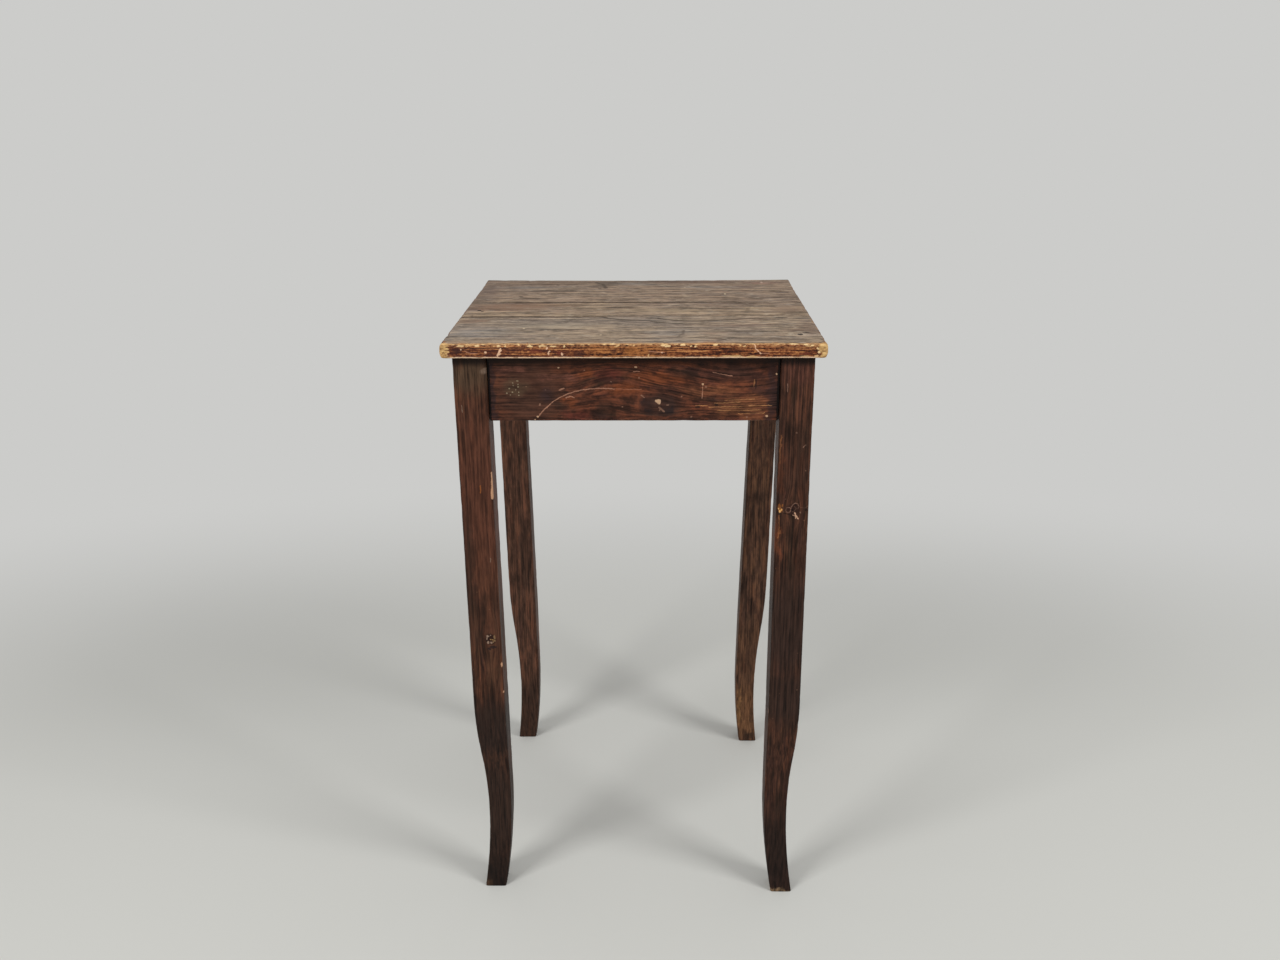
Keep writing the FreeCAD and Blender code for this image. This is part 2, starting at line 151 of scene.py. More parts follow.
class Paint:
    """The nodes of one material, or of the sky."""

    def __init__(self, name: str, shelf: str = "materials") -> None:
        """Starts with no nodes.

        Args:
            name: The material's name, or the sky's.
            shelf: Where it is kept: "materials" or "worlds".
        """
        self.owner = getattr(bpy.data, shelf).new(name)
        self.owner.use_nodes = True
        self.tree = self.owner.node_tree
        self.tree.nodes.clear()

    def add(self, kind: str, settings: dict[str, object], sockets: dict[int | str, Value],
            output: int | str = 0) -> Sock:
        """Adds a node.

        Args:
            kind: The node's type.
            settings: Its properties; "stops" are a ramp's places and colours.
            sockets: The values or links of its inputs.
            output: The output that is wanted.

        Returns:
            That output.
        """
        node = self.tree.nodes.new(kind)
        for name, setting in settings.items():
            if name == "stops":
                self.set_stops(node.color_ramp, setting)
            else:
                setattr(node, name, setting)
        for key, value in sockets.items():
            target = node.inputs[key]
            if isinstance(value, Sock):
                self.tree.links.new(value.socket, target)
            elif target.type == "RGBA":
                target.default_value = (*linear(value), 1.0)
            else:
                target.default_value = value
        return Sock(self, node.outputs[output])

    @staticmethod
    def set_stops(ramp: bpy.types.ColorRamp, stops: Sequence[tuple[float, Colour]]) -> None:
        """Gives a colour ramp its stops.

        Args:
            ramp: The ramp, as new.
            stops: Places from 0 to 1 with their colours.
        """
        while len(ramp.elements) < len(stops):
            ramp.elements.new(1.0)
        for element, (place, colour) in zip(ramp.elements, stops):
            element.position = place
            element.color = (*linear(colour), 1.0)

    def maths(self, operation: str, *values: Value) -> Sock:
        """Adds a Math node, or a Vector Math node where a value is a vector.

        Args:
            operation: The node's operation.
            values: Its inputs in order.

        Returns:
            The result.
        """
        if not any(isinstance(v, tuple) or self.is_vector(v) for v in values):
            return self.add("ShaderNodeMath", {"operation": operation}, dict(enumerate(values)))
        vectors = [
            v if isinstance(v, tuple) or self.is_vector(v) else self.join(v, v, v) for v in values
        ]
        return self.add("ShaderNodeVectorMath", {"operation": operation}, dict(enumerate(vectors)))

    def measure(self, operation: str, *vectors: Value) -> Sock:
        """The number that a Vector Math node makes of its vectors."""
        settings = {"operation": operation}
        return self.add("ShaderNodeVectorMath", settings, dict(enumerate(vectors)), "Value")

    @staticmethod
    def is_vector(value: Value) -> bool:
        """Whether a value is a vector's socket."""
        return isinstance(value, Sock) and value.socket.type == "VECTOR"

    def spread(self, value: Sock, low: Value, high: Value, start: float, end: float) -> Sock:
        """Carries a value between low and high smoothly to one between start and end."""
        return self.add(
            "ShaderNodeMapRange",
            {"interpolation_type": "SMOOTHSTEP", "clamp": True},
            {0: value, 1: low, 2: high, 3: start, 4: end},
        )

    def place(self) -> Sock:
        """Where a point of the piece lies, in metres."""
        return self.add("ShaderNodeTexCoord", {}, {}, "Object")

    def split(self, vector: Sock) -> tuple[Sock, Sock, Sock]:
        """A vector's or a colour's three parts."""
        kind = "ShaderNodeSeparateXYZ" if self.is_vector(vector) else "ShaderNodeSeparateColor"
        first = self.add(kind, {}, {0: vector})
        outputs = first.socket.node.outputs
        return first, Sock(self, outputs[1]), Sock(self, outputs[2])

    def join(self, x: Value, y: Value, z: Value) -> Sock | Point:
        """A vector from its three parts."""
        if not any(isinstance(v, Sock) for v in (x, y, z)):
            return x, y, z
        return self.add("ShaderNodeCombineXYZ", {}, {0: x, 1: y, 2: z})

    def noise(self, where: Sock, scale: Point | float, detail: float = 2.0, roughness: float = 0.5,
              output: str = "Fac") -> Sock:
        """Soft irregular variation about 0.5.

        Args:
            where: The place that it is read at.
            scale: Patches in a metre, for each axis or for all.
            detail: How many finer layers are added.
            roughness: How strong each is beside the last.
            output: "Fac" for a value or "Color" for three.

        Returns:
            The variation.
        """
        if isinstance(scale, tuple):
            where, scale = where * scale, 1.0
        sockets = {"Vector": where, "Scale": scale, "Detail": detail, "Roughness": roughness}
        return self.add("ShaderNodeTexNoise", {"noise_dimensions": "3D"}, sockets, output)

    def stir(self, where: Sock, scale: Point | float, reach: Point, detail: float = 3.0) -> Sock:
        """How far soft noise moves a place along each axis, at most half the reach either way."""
        sway = self.join(*self.split(self.noise(where, scale, detail, 0.66, "Color")))
        return (sway - 0.5) * reach

    def cells(self, where: Sock, scale: Point) -> Sock:
        """The distance to the nearest of many scattered seeds, in patches."""
        sockets = {"Vector": where * scale, "Scale": 1.0}
        return self.add("ShaderNodeTexVoronoi", {"feature": "F1"}, sockets, "Distance")

    def mix(self, first: Value, second: Value, amount: Value, mode: str = "MIX") -> Sock:
        """Blends an amount of the second colour, from 0 to 1, into the first."""
        settings = {"data_type": "RGBA", "blend_type": mode, "clamp_factor": True}
        return self.add("ShaderNodeMix", settings, {0: amount, 6: first, 7: second}, 2)

    def ramp(self, value: Sock, stops: Sequence[tuple[float, Colour]]) -> Sock:
        """The colour that a value from 0 to 1 has on a ramp."""
        return self.add("ShaderNodeValToRGB", {"stops": stops}, {0: value}, "Color")

    def shade(self, colour: Value, light: Sock) -> Sock:
        """A colour made lighter or darker by a value about 1."""
        grey = self.add("ShaderNodeCombineColor", {}, {0: light, 1: light, 2: light})
        return self.mix(colour, grey, 1.0, "MULTIPLY")

    def gap(self, place: Sock, spot: Value) -> Sock:
        """How far a place is from a spot."""
        return self.measure("DISTANCE", place, spot)

    def gap_to_line(self, place: Sock, start: Point, end: Point) -> Sock:
        """How far a place is from a straight line.

        Args:
            place: The place.
            start: One end of the line.
            end: Its other end.

        Returns:
            The distance, in the place's own unit.
        """
        run = Vector(end) - Vector(start)
        away = place - start
        along = self.measure("DOT_PRODUCT", away, tuple(run / run.length_squared))
        share = self.add("ShaderNodeClamp", {}, {0: along})
        values = {0: tuple(run), "Scale": share}
        return self.gap(away, self.add("ShaderNodeVectorMath", {"operation": "SCALE"}, values))

    def seen(self) -> Sock:
        """1 on the rays that show the backdrop: from the eye, off gloss and through glass."""
        rays = ("Is Camera Ray", "Is Glossy Ray", "Is Transmission Ray")
        eye, gloss, glass = (self.add("ShaderNodeLightPath", {}, {}, ray) for ray in rays)
        return eye.most(gloss).most(glass)

    def relief(self, height: Sock) -> Sock:
        """The normal of a surface that has a relief in metres."""
        values = {"Strength": 1.0, "Distance": 1.0, "Height": height}
        return self.add("ShaderNodeBump", {}, values, "Normal")

    def close(self, surface: Sock, kind: str = "Material") -> bpy.types.ID:
        """Links a surface to the output of its kind, and gives the material or the sky."""
        output = self.tree.nodes.new(f"ShaderNodeOutput{kind}")
        self.tree.links.new(surface.socket, output.inputs["Surface"])
        return self.owner


# Wood


class Lay(Enum):
    """Which of X, Y and Z run along the grain, across the face and into the thickness."""

    BOARD = (0, 1, 2)
    FRONT_RAIL = (0, 2, 1)
    SIDE_RAIL = (1, 2, 0)
    POST = (2, 0, 1)
    BACKWARD_DOWEL = (1, 0, 2)


@dataclass(frozen=True)
class Eddy:
    """A place where the grain opens round a knot, or dips aside."""

    along: float
    across: float
    reach: tuple[float, float]
    opening: float = 0.0
    dip: float = 0.0


@dataclass(frozen=True)
class Log:
    """How a piece lies in the log that it was sawn from, and the streaks and flecks in a metre."""

    lay: Lay
    pith: tuple[float, float]
    ring: float
    shift: float = 0.0
    wander: float = 0.010
    eddies: tuple[Eddy, ...] = ()
    streaks: float = 250.0
    flecks: float = 70.0

    def grain(self, paint: Paint, where: Sock) -> "Grain":
        """Draws the growth rings and fibres of the piece.

        Args:
            paint: The material.
            where: Where a point lies.

        Returns:
            The grain's values.
        """
        parts = paint.split(where)
        along, across, deep = (parts[i] for i in self.lay.value)
        bent = across
        for eddy in self.eddies:
            off_along, off_across = along - eddy.along, across - eddy.across
            place = paint.join(off_along / eddy.reach[0], off_across / eddy.reach[1], 0.0)
            bent = bent - place.length().fall(0.0, 1.0) * (off_across * eddy.opening + eddy.dip)
        run = paint.join(along + self.shift, bent, deep)
        sway = paint.noise(run, (1.8, 5.0, 5.0), 1.0) - 0.5
        heave = paint.noise(run + (3.1, 7.7, 1.3), (1.4, 4.0, 4.0), 1.0) - 0.5
        off_across = bent - self.pith[0] + sway * self.wander
        off_deep = deep - self.pith[1] + heave * (2 * self.wander)
        radius = (off_across * off_across + off_deep * off_deep) ** 0.5
        years = radius / self.ring + paint.noise(run, (9.0, 60.0, 60.0), 2.0) * 0.7
        phase = years.part()
        return Grain(
            run=run,
            late=phase.rise(0.30, 0.88) * phase.fall(0.92, 1.0),
            tone=(paint.maths("SINE", years.whole() * 12.9898) * 43.7585).part(),
            fibre=paint.noise(run, (18.0, 430.0, 430.0), 3.0, 0.64).rise(0.32, 0.68),
            streak=paint.noise(run, (8.0, self.streaks, self.streaks), 4.0, 0.66).rise(0.35, 0.65),
            fleck=paint.noise(run, (self.flecks, 150.0, 150.0), 3.0, 0.68).rise(0.34, 0.66),
            pore=paint.noise(run, (60.0, 1100.0, 1100.0), 1.0).rise(0.58, 0.70),
        )


@dataclass(frozen=True)
class Grain:
    """What a log's wood shows on a piece's faces, each from 0 to 1 and about 0.5 on average."""

    run: Sock
    late: Sock
    tone: Sock
    fibre: Sock
    streak: Sock
    fleck: Sock
    pore: Sock

    def light(self, fibre: float, streak: float, fleck: float, late: float, pore: float) -> Sock:
        """How light the wood is, about 1.

        Args:
            fibre: How much the finest lines change it.
            streak: How much the long streaks do.
            fleck: How much the short ones do.
            late: How much the dark part of each ring does.
            pore: How much the open pores do.

        Returns:
            The lightness.
        """
        base = 1 - fibre / 2 - streak / 2 - fleck / 2 + late / 8 + pore / 8
        lines = self.fibre * fibre + self.streak * streak + self.fleck * fleck
        return lines - self.late * late + self.tone * (late / 4) - self.pore * pore + base


class Ground(NamedTuple):
    """What a wooden finish is laid on: a material, where a point lies, and the grain there."""

    paint: Paint
    where: Sock
    grain: Grain

    @classmethod
    def of(cls, name: str, cut: Log) -> "Ground":
        """Starts a material on wood that is cut in some way."""
        paint = Paint(name)
        where = paint.place()
        return cls(paint, where, cut.grain(paint, where))


@dataclass(frozen=True)
class Side:
    """The face of a piece that its marks are laid out on, in millimetres.

    Its first two axes lie in the face. A mark fades away from the face's level along the third.
    """

    axes: tuple[int, int, int]
    level: float
    fade: float

    def place(self, paint: Paint, where: Sock) -> Sock:
        """A point's place on the face and how far off it is, in millimetres."""
        parts = paint.split(where)
        first, second, third = (parts[i] for i in self.axes)
        return paint.join(first / MM, second / MM, (third - self.level) * (self.fade / MM))


@dataclass(frozen=True)
class Mark:
    """Stains, scratches or chips of one colour, in millimetres on a piece's side.

    A spot is its place and half sizes. A line is its width and then each point that it runs through.
    """

    colour: Colour
    strength: float
    spots: tuple[Spot, ...] = ()
    lines: tuple[Line, ...] = ()
    depth: float = 0.0
    broken: float = 0.0
    core: float = 0.68

    def gaps(self, paint: Paint, place: Sock) -> Iterable[Sock]:
        """How far a place is from each spot and line, as a share of its reach.

        Args:
            paint: The material.
            place: The place on the side.

        Yields:
            The shares: 1 at the outline of a spot or line.
        """
        for first, second, wide, tall in self.spots:
            scale = (1 / wide, 1 / tall, 1 / min(wide, tall))
            yield paint.gap(place * scale, (first / wide, second / tall, 0.0))
        for width, *path in self.lines:
            for start, end in zip(path, path[1:]):
                yield paint.gap_to_line(place, (*start, 0.0), (*end, 0.0)) / (0.6 * width)

    def mask(self, paint: Paint, place: Sock, flecks: Sock) -> Sock:
        """Where the marks lie.

        Args:
            paint: The material.
            place: The place on the side.
            flecks: What breaks them up.

        Returns:
            1 on a mark and 0 off it, times the strength.
        """
        nearest = None
        for gap in self.gaps(paint, place):
            nearest = gap if nearest is None else nearest.least(gap)
        mask = paint.spread(nearest, self.core, 1.0, self.strength, 0.0)
        return mask * (flecks * self.broken + (1 - self.broken)) if self.broken else mask


@dataclass
class Coat:
    """A surface while it is being built up: its colour, relief and roughness."""

    ground: Ground
    colour: Sock
    height: Sock
    rough: Sock

    def tint(self, colour: Colour | Sock, amount: Sock) -> None:
        """Lays a colour over the surface's own."""
        self.colour = self.ground.paint.mix(self.colour, colour, amount)

    def shade(self, light: Sock) -> None:
        """Makes the surface lighter or darker by a value about 1."""
        self.colour = self.ground.paint.shade(self.colour, light)

    def mark(self, side: Side, marks: Iterable[Mark], scale: Point | float, reach: Point,
             detail: float = 3.0) -> None:
        """Lays marks over the surface, with outlines that noise makes ragged.

        Args:
            side: The face that they are laid out on.
            marks: The marks, the first at the bottom.
            scale: The noise's patches in a metre.
            reach: How far it moves an outline, in millimetres, both ways together.
            detail: How many finer layers the noise has.
        """
        if not marks:
            return
        paint, where, grain = self.ground
        place = side.place(paint, where) + paint.stir(where, scale, reach, detail)
        for mark in marks:
            mask = mark.mask(paint, place, grain.fleck)
            self.tint(mark.colour, mask)
            if mark.depth:
                self.height = self.height - mask * mark.depth

    def over(self, other: "Coat", amount: Sock) -> "Coat":
        """This surface with another over it, by an amount from 0 to 1."""
        return Coat(
            self.ground,
            self.ground.paint.mix(self.colour, other.colour, amount),
            self.height + (other.height - self.height) * amount,
            self.rough + (other.rough - self.rough) * amount,
        )

    def finish(self, specular: float) -> bpy.types.Material:
        """Closes the material with this surface; plain varnish has a specular level of 0.5."""
        paint = self.ground.paint
        return paint.close(paint.add("ShaderNodeBsdfPrincipled", {}, {
            "Base Color": self.colour,
            "Roughness": self.rough,
            "Normal": paint.relief(self.height),
            "Specular IOR Level": specular,
        }, "BSDF"))


def edge_distance(paint: Paint, where: Sock, low: Vector, high: Vector) -> Sock:
    """How far a point on the face of a box is from the box's nearest edge.

    Args:
        paint: The material.
        where: Where the point lies.
        low: The box's low corner.
        high: Its high corner.

    Returns:
        The distance in metres.
    """
    middle, half = (low + high) / 2, (high - low) / 2
    x, y, z = paint.split(where - tuple(middle))
    gap_x, gap_y, gap_z = half.x - x.size(), half.y - y.size(), half.z - z.size()
    return gap_x.least(gap_y).most(gap_x.most(gap_y).least(gap_z))


def patch(colour: Colour, strength: float, *spots: Spot, broken: float = 0.0,
          depth: float = 0.0) -> Mark:
    """Spots of one colour."""
    return Mark(colour, strength, spots, (), depth, broken)


def wash(colour: Colour, strength: float, *spots: Spot) -> Mark:
    """Broad changes of tone to one colour, broken up by the grain."""
    return Mark(colour, strength, spots, (), 0.0, 0.5, 0.30)


def veil(colour: Colour, strength: float, *spots: Spot) -> Mark:
    """Broad changes of tone to one colour, nearly even."""
    return Mark(colour, strength, spots, (), 0.0, 0.15, 0.30)


def strokes(colour: Colour, strength: float, *paths: Line, depth: float = 0.0,
            broken: float = 0.0) -> Mark:
    """Lines of one colour."""
    return Mark(colour, strength, (), paths, depth, broken)


def shake(colour: Colour, strength: float, *paths: Line, depth: float = 0.10 * MM,
          broken: float = 0.5, spots: tuple[Spot, ...] = ()) -> Mark:
    """Old splits along the grain, with soft sides."""
    return Mark(colour, strength, spots, paths, depth, broken, 0.10)


def scratch(colour: Colour, strength: float, width: float, *path: tuple[float, float]) -> Mark:
    """A scratch through points."""
    return strokes(colour, strength, (width, *path), depth=0.08 * MM)


# Finishes


# The weathered face of the top.
ROSY = (112, 84, 68)
DUSKY = (104, 100, 98)
SALLOW = (158, 138, 112)
CHECKED = (70, 53, 42)
BLEACHED = (188, 172, 152)
SEAM_DIRT = (40, 29, 23)
SEAM_STAIN = (84, 64, 50)

# The varnish on its edges, from the darkest streaks to the lightest, and what tints it.
VARNISH = (
    (0.42, (36, 18, 14)), (0.475, (86, 43, 25)), (0.53, (132, 74, 42)), (0.59, (190, 130, 78)),
)
VARNISH_PLUM = (72, 38, 31)
VARNISH_AMBER = (172, 112, 60)
VARNISH_DULL = (98, 80, 66)
VARNISH_TAN = (150, 108, 72)
END_EARLY = (116, 78, 54)
END_LATE = (60, 37, 28)

# The wood that wear has laid open, and the sawn underside.
BARE = (
    (0.38, (90, 52, 30)), (0.46, (146, 98, 60)), (0.55, (190, 144, 96)), (0.63, (236, 200, 142)),
)
BARE_YELLOW = (206, 168, 110)
# Worn wood along the lower arris, painted paler than it is: a painted highlight, as that arris faces
# down, away from the lamps.
BARE_PINK_PAINTED_LIGHTER = (252, 214, 180)
BARE_DULL = (146, 114, 86)
SAWN_LIGHT = (140, 106, 76)
SAWN_DARK = (112, 84, 62)

# What mottles the stained wood; the near-black of the holes in the top, also used as painted shadow
# under the top; and the heights that this painted shadow fades in at.
OLIVE = (64, 52, 38)
PLUM = (70, 42, 42)
RUST = (112, 60, 38)
HOLE_AND_SHADE_BLACK = (26, 19, 16)
UNDER_TOP_SHADE_FADE = (0.7195, 0.7275)


@dataclass(frozen=True)
class TopFinish:
    """Old softwood: grey and matt above, dark varnish on its edges, worn pale along each arris."""

    name: str
    log: Log
    warm: Colour
    cool: Colour
    stains: tuple[Mark, ...] = ()
    shakes: tuple[Mark, ...] = ()
    dents: tuple[Mark, ...] = ()
    edge_marks: tuple[Mark, ...] = ()
    chips: tuple[Mark, ...] = ()

    def material(self, top: "TableTop") -> bpy.types.Material:
        """Builds the finish.

        Args:
            top: The top that the boards make.

        Returns:
            The material.
        """
        ground = Ground.of(self.name, self.log)
        _, y, z = ground.paint.split(ground.where)
        face = self.weathered(ground, top)
        edge = self.varnished(ground, top)
        # The face's grey reaches further down the worn back and sides than at the front arris.
        at_front = y.fall(-0.190, -0.180) * (0.8 * MM)
        at_back = y.rise(0.10, 0.20) * (1.6 * MM)
        level = at_front - at_back + (top.high - 1.4 * MM)
        below = z.fall(top.low + 0.1 * MM, top.low + 0.5 * MM)
        surface = edge.over(face, (z - level).rise(0.0, 0.6 * MM)).over(self.sawn(ground), below)
        rubbed = self.rubbed(ground, top) * (1 - below * 0.5)
        if not self.chips:
            rubbed = rubbed * y.fall(0.150, 0.190)
        surface = surface.over(self.bare(ground, top), rubbed)
        surface.mark(FRONT_EDGE, self.chips, (200.0, 200.0, 420.0), (7.0, 2.6, 0.0), 4.0)
        return surface.finish(0.16)

    def rubbed(self, ground: Ground, top: "TableTop") -> Sock:
        """Where wear has gone through to bare wood.

        Args:
            ground: What the finish is laid on.
            top: The top.

        Returns:
            The wear, from 0 to 1.
        """
        paint, where, _ = ground
        x, y, z = paint.split(where)
        arris = edge_distance(paint, where, *top.corners())
        ragged = paint.noise(where, (60.0, 60.0, 160.0), 4.0, 0.68)
        fine = paint.noise(where, (150.0, 150.0, 420.0), 3.0, 0.65)

        # Below the upper arris the wear comes and goes in ragged islands.
        upper = (top.high - z).fall(5 * MM, 8 * MM)
        lower = 1 - (top.high - z).fall(9 * MM, 11 * MM)
        line = 0.9 * MM + fine * (1.5 * MM) + lower * (0.2 * MM)
        islands = (ragged - 0.54).most(0.0) * (0.032 * upper + 0.003)
        reach = line + islands
        rim = arris.fall(reach * 0.75, reach + 0.3 * MM) * (fine.rise(0.36, 0.50) * 0.5 + 0.5)

        # At a corner the wear reaches from top to bottom.
        inset = (top.width / 2 - x.size()) + (top.depth / 2 - y.size())
        edge = (fine - 0.5) * (22 * MM) + (ragged - 0.5) * (18 * MM)
        corner = (inset + edge - upper * (3 * MM)).fall(8.0 * MM, 9.8 * MM)
        return rim.most(corner)

    def weathered(self, ground: Ground, top: "TableTop") -> Coat:
        """The bare grey face.

        Args:
            ground: What the finish is laid on.
            top: The top.

        Returns:
            The surface.
        """
        paint, where, grain = ground
        cloud = paint.noise(where, (5.0, 14.0, 14.0), 4.0, 0.62)
        colour = paint.mix(self.warm, self.cool, cloud.rise(0.40, 0.60))
        tints = paint.split(paint.noise(grain.run, (26.0, 90.0, 90.0), 4.0, 0.66, "Color"))
        for tint, low, shade in zip(tints, (0.53, 0.54, 0.52), (ROSY, DUSKY, SALLOW)):
            colour = paint.mix(colour, shade, tint.rise(low, 0.66) * 0.40)

        check = (paint.noise(grain.run, (4.0, 48.0, 48.0), 3.0, 0.5) - 0.5).size()
        check = check.fall(0.004, 0.016) * paint.noise(where, (24.0, 30.0, 30.0), 2.0).rise(0.46, 0.62)
        crack = paint.noise(grain.run, (22.0, 150.0, 150.0), 4.0, 0.60).rise(0.59, 0.67)
        dark = check * 0.66 + crack * 0.56
        bleach = paint.noise(grain.run, (60.0, 150.0, 150.0), 3.0, 0.62).rise(0.58, 0.70)
        height = grain.fibre * (0.08 * MM) - grain.late * (0.05 * MM) - dark * (0.20 * MM)
        coat = Coat(ground, colour, height, 0.62 + grain.fibre * 0.16)
        coat.shade(grain.light(0.28, 0.86, 0.58, 0.12, 0.10) - 0.04)
        coat.tint(CHECKED, dark)
        coat.tint(BLEACHED, bleach * 0.48)
        coat.mark(TOP_FACE, self.stains, (22.0, 130.0, 130.0), (70.0, 22.0, 0.0), 4.0)
        coat.mark(TOP_FACE, self.shakes, (60.0, 110.0, 110.0), (9.0, 3.4, 0.0))
        coat.mark(TOP_FACE, self.dents, 300.0, (2.4, 2.4, 0.0), 2.0)
        top.darken_seams(coat)
        return coat

    def varnished(self, ground: Ground, top: "TableTop") -> Coat:
        """The edges, where the old dark varnish still holds.

        Args:
            ground: What the finish is laid on.
            top: The top.

        Returns:
            The surface.
        """
        paint, where, grain = ground
        x, y, z = paint.split(where)
        streak = paint.noise(where, (24.0, 24.0, 700.0), 4.0, 0.72)
        speck = paint.noise(where, (300.0, 300.0, 520.0), 3.0, 0.70)
        blend = streak * 0.66 + speck * 0.34
        ends = x.size().rise(top.width / 2 - 5 * MM, top.width / 2 - 3 * MM)
        height = grain.fibre * (0.05 * MM) - grain.late * ends * (0.1 * MM)
        coat = Coat(ground, paint.ramp(blend, VARNISH), height, 0.46 + streak * 0.2)

        # The left end is plum, the middle amber and the back dull.
        sway = paint.noise(where, (15.0, 15.0, 60.0), 2.0, 0.6) - 0.5
        plum = (x + sway * 0.10).fall(-0.085, -0.050)
        coat.tint(VARNISH_PLUM, plum * blend.fall(0.44, 0.60) * 0.58)
        amber = (x + 0.008 + sway * 0.05).size().fall(0.030, 0.056)
        coat.tint(VARNISH_AMBER, amber * blend.rise(0.45, 0.54) * 0.52)
        coat.tint(VARNISH_DULL, y.rise(0.140, 0.190) * 0.85)
        tan = z.rise(top.high - 7.5 * MM, top.high - 3.0 * MM) * speck.rise(0.42, 0.60)
        coat.tint(VARNISH_TAN, tan * 0.50)
        rings = paint.mix(END_EARLY, END_LATE, grain.late)
        coat.tint(paint.shade(rings, 0.7 + grain.fleck * 0.6), ends * 0.75)
        coat.mark(FRONT_EDGE, self.edge_marks, (120.0, 120.0, 330.0), (6.0, 1.8, 0.0), 2.0)
        return coat

    def sawn(self, ground: Ground) -> Coat:
        """The bare underside, with the marks of the saw.

        Args:
            ground: What the finish is laid on.

        Returns:
            The surface.
        """
        paint, where, grain = ground
        x, y, _ = paint.split(where)
        stroke = paint.noise(paint.join(x * 230.0 + y * 26.0, y * 2.0, 0.0), 1.0, 1.0)
        height = stroke * (0.12 * MM) + grain.fibre * (0.08 * MM)
        colour = paint.mix(SAWN_LIGHT, SAWN_DARK, grain.streak)
        coat = Coat(ground, colour, height, 0.78 + grain.fibre * 0.1)
        coat.shade(grain.light(0.24, 0.16, 0.16, 0.26, 0.16) - (stroke - 0.5) * 0.2)
        return coat

    def bare(self, ground: Ground, top: "TableTop") -> Coat:
        """The pale wood that wear has laid open.

        Args:
            ground: What the finish is laid on.
            top: The top.

        Returns:
            The surface.
        """
        paint, where, grain = ground
        x, y, z = paint.split(where)
        speck = paint.noise(where, (150.0, 150.0, 330.0), 3.0, 0.68)
        height = speck * (0.06 * MM) - 0.12 * MM
        coat = Coat(ground, paint.ramp(speck, BARE), height, 0.62 + speck * 0.1)
        yellow = (top.width / 2 - x.size()).fall(8 * MM, 16 * MM)
        coat.tint(BARE_YELLOW, yellow * (speck.rise(0.38, 0.50) * 0.35 + 0.35))
        # Along the lower arris the worn wood is painted paler and lighter still, a painted highlight
        # on an arris that faces down, away from the lamps.
        lower = z.fall(top.low + 5 * MM, top.low + 8 * MM)
        coat.tint(BARE_PINK_PAINTED_LIGHTER, lower * (1 - yellow) * 0.95)
        coat.tint(BARE_DULL, (y + 0.185).rise(0.0, 0.04) * 0.75)
        coat.shade(0.86 + grain.fibre * 0.2 + lower * 0.08)
        return coat


@dataclass(frozen=True)
class StainFinish:
    """A dark stain and thin old varnish over figured wood, rubbed along its arrises."""

    name: str
    log: Log
    deep: Colour
    plain: Colour
    bright: Colour
    rubbed: Colour
    mottle: float = 0.5
    figure: float = 0.36
    sheen: float = 0.44
    wear: float = 0.5
    side: Side = Side((0, 2, 1), 0.0, 0.0)
    washes: tuple[Mark, ...] = ()
    marks: tuple[Mark, ...] = ()

    def material(self, arris_of: Callable[[Paint, Sock], Sock]) -> bpy.types.Material:
        """Builds the finish.

        Args:
            arris_of: Gives the distance of a point from the nearest arris.

        Returns:
            The material.
        """
        ground = Ground.of(self.name, self.log)
        paint, where, grain = ground
        cloud = paint.noise(grain.run, (11.0, 60.0, 60.0), 4.0, 0.66).rise(0.30, 0.70)
        tone = cloud * 0.36 + grain.streak * self.figure + grain.fleck * (0.64 - self.figure)
        colour = paint.ramp(tone, ((0.22, self.deep), (0.50, self.plain), (0.78, self.bright)))
        height = grain.fibre * (0.04 * MM) - grain.pore * (0.08 * MM) - grain.late * (0.03 * MM)
        coat = Coat(ground, colour, height, self.sheen + grain.streak * 0.18)
        tints = paint.noise(grain.run + (0.7, 0.2, 0.4), (15.0, 110.0, 110.0), 4.0, 0.66, "Color")
        for tint, shade in zip(paint.split(tints), (OLIVE, PLUM, RUST)):
            coat.tint(shade, tint.rise(0.53, 0.67) * self.mottle)
        coat.mark(replace(self.side, fade=0.0), self.washes, 40.0, (26.0, 26.0, 0.0), 4.0)
        streak, fleck = 0.85 * self.figure, 0.40 - 0.3 * self.figure
        coat.shade(grain.light(0.74, streak, fleck, 0.14, 0.20) - 0.08)

        patches = paint.noise(where, 28.0, 2.0, 0.6).rise(0.54, 0.66)
        dust = paint.cells(where, (95.0, 95.0, 95.0)).fall(0.045, 0.085) * patches
        coat.tint(self.rubbed, dust * 0.55)
        coat.mark(self.side, self.marks, 330.0, (2.6, 2.6, 0.0))
        bare = paint.shade(paint.mix(self.rubbed, self.plain, 0.15), 0.72 + grain.fibre * 0.56)
        worn = Coat(ground, bare, coat.height - 0.05 * MM, coat.rough + 0.12)
        coat = coat.over(worn, self.worn_arris(paint, where, arris_of(paint, where)))
        # Painted shadow: the top of each leg and apron is darkened under the top's overhang, fading in
        # with height.
        _, _, z = paint.split(where)
        coat.tint(HOLE_AND_SHADE_BLACK, z.rise(*UNDER_TOP_SHADE_FADE) * 0.80)
        return coat.finish(0.12)

    def worn_arris(self, paint: Paint, where: Sock, arris: Sock) -> Sock:
        """Where the stain is rubbed off along the arrises.

        Args:
            paint: The material.
            where: Where a point lies.
            arris: Its distance from the nearest arris.

        Returns:
            The wear, from 0 to 1.
        """
        along = paint.noise(where, (40.0, 40.0, 26.0), 4.0, 0.68)
        reach = ((along - 0.52) * (12 * MM * self.wear)).most(0.0) + 0.25 * MM
        worn = arris.fall(reach * 0.6, reach + 0.3 * MM) * along.rise(0.44, 0.60)
        return worn * (0.20 + 0.75 * self.wear)


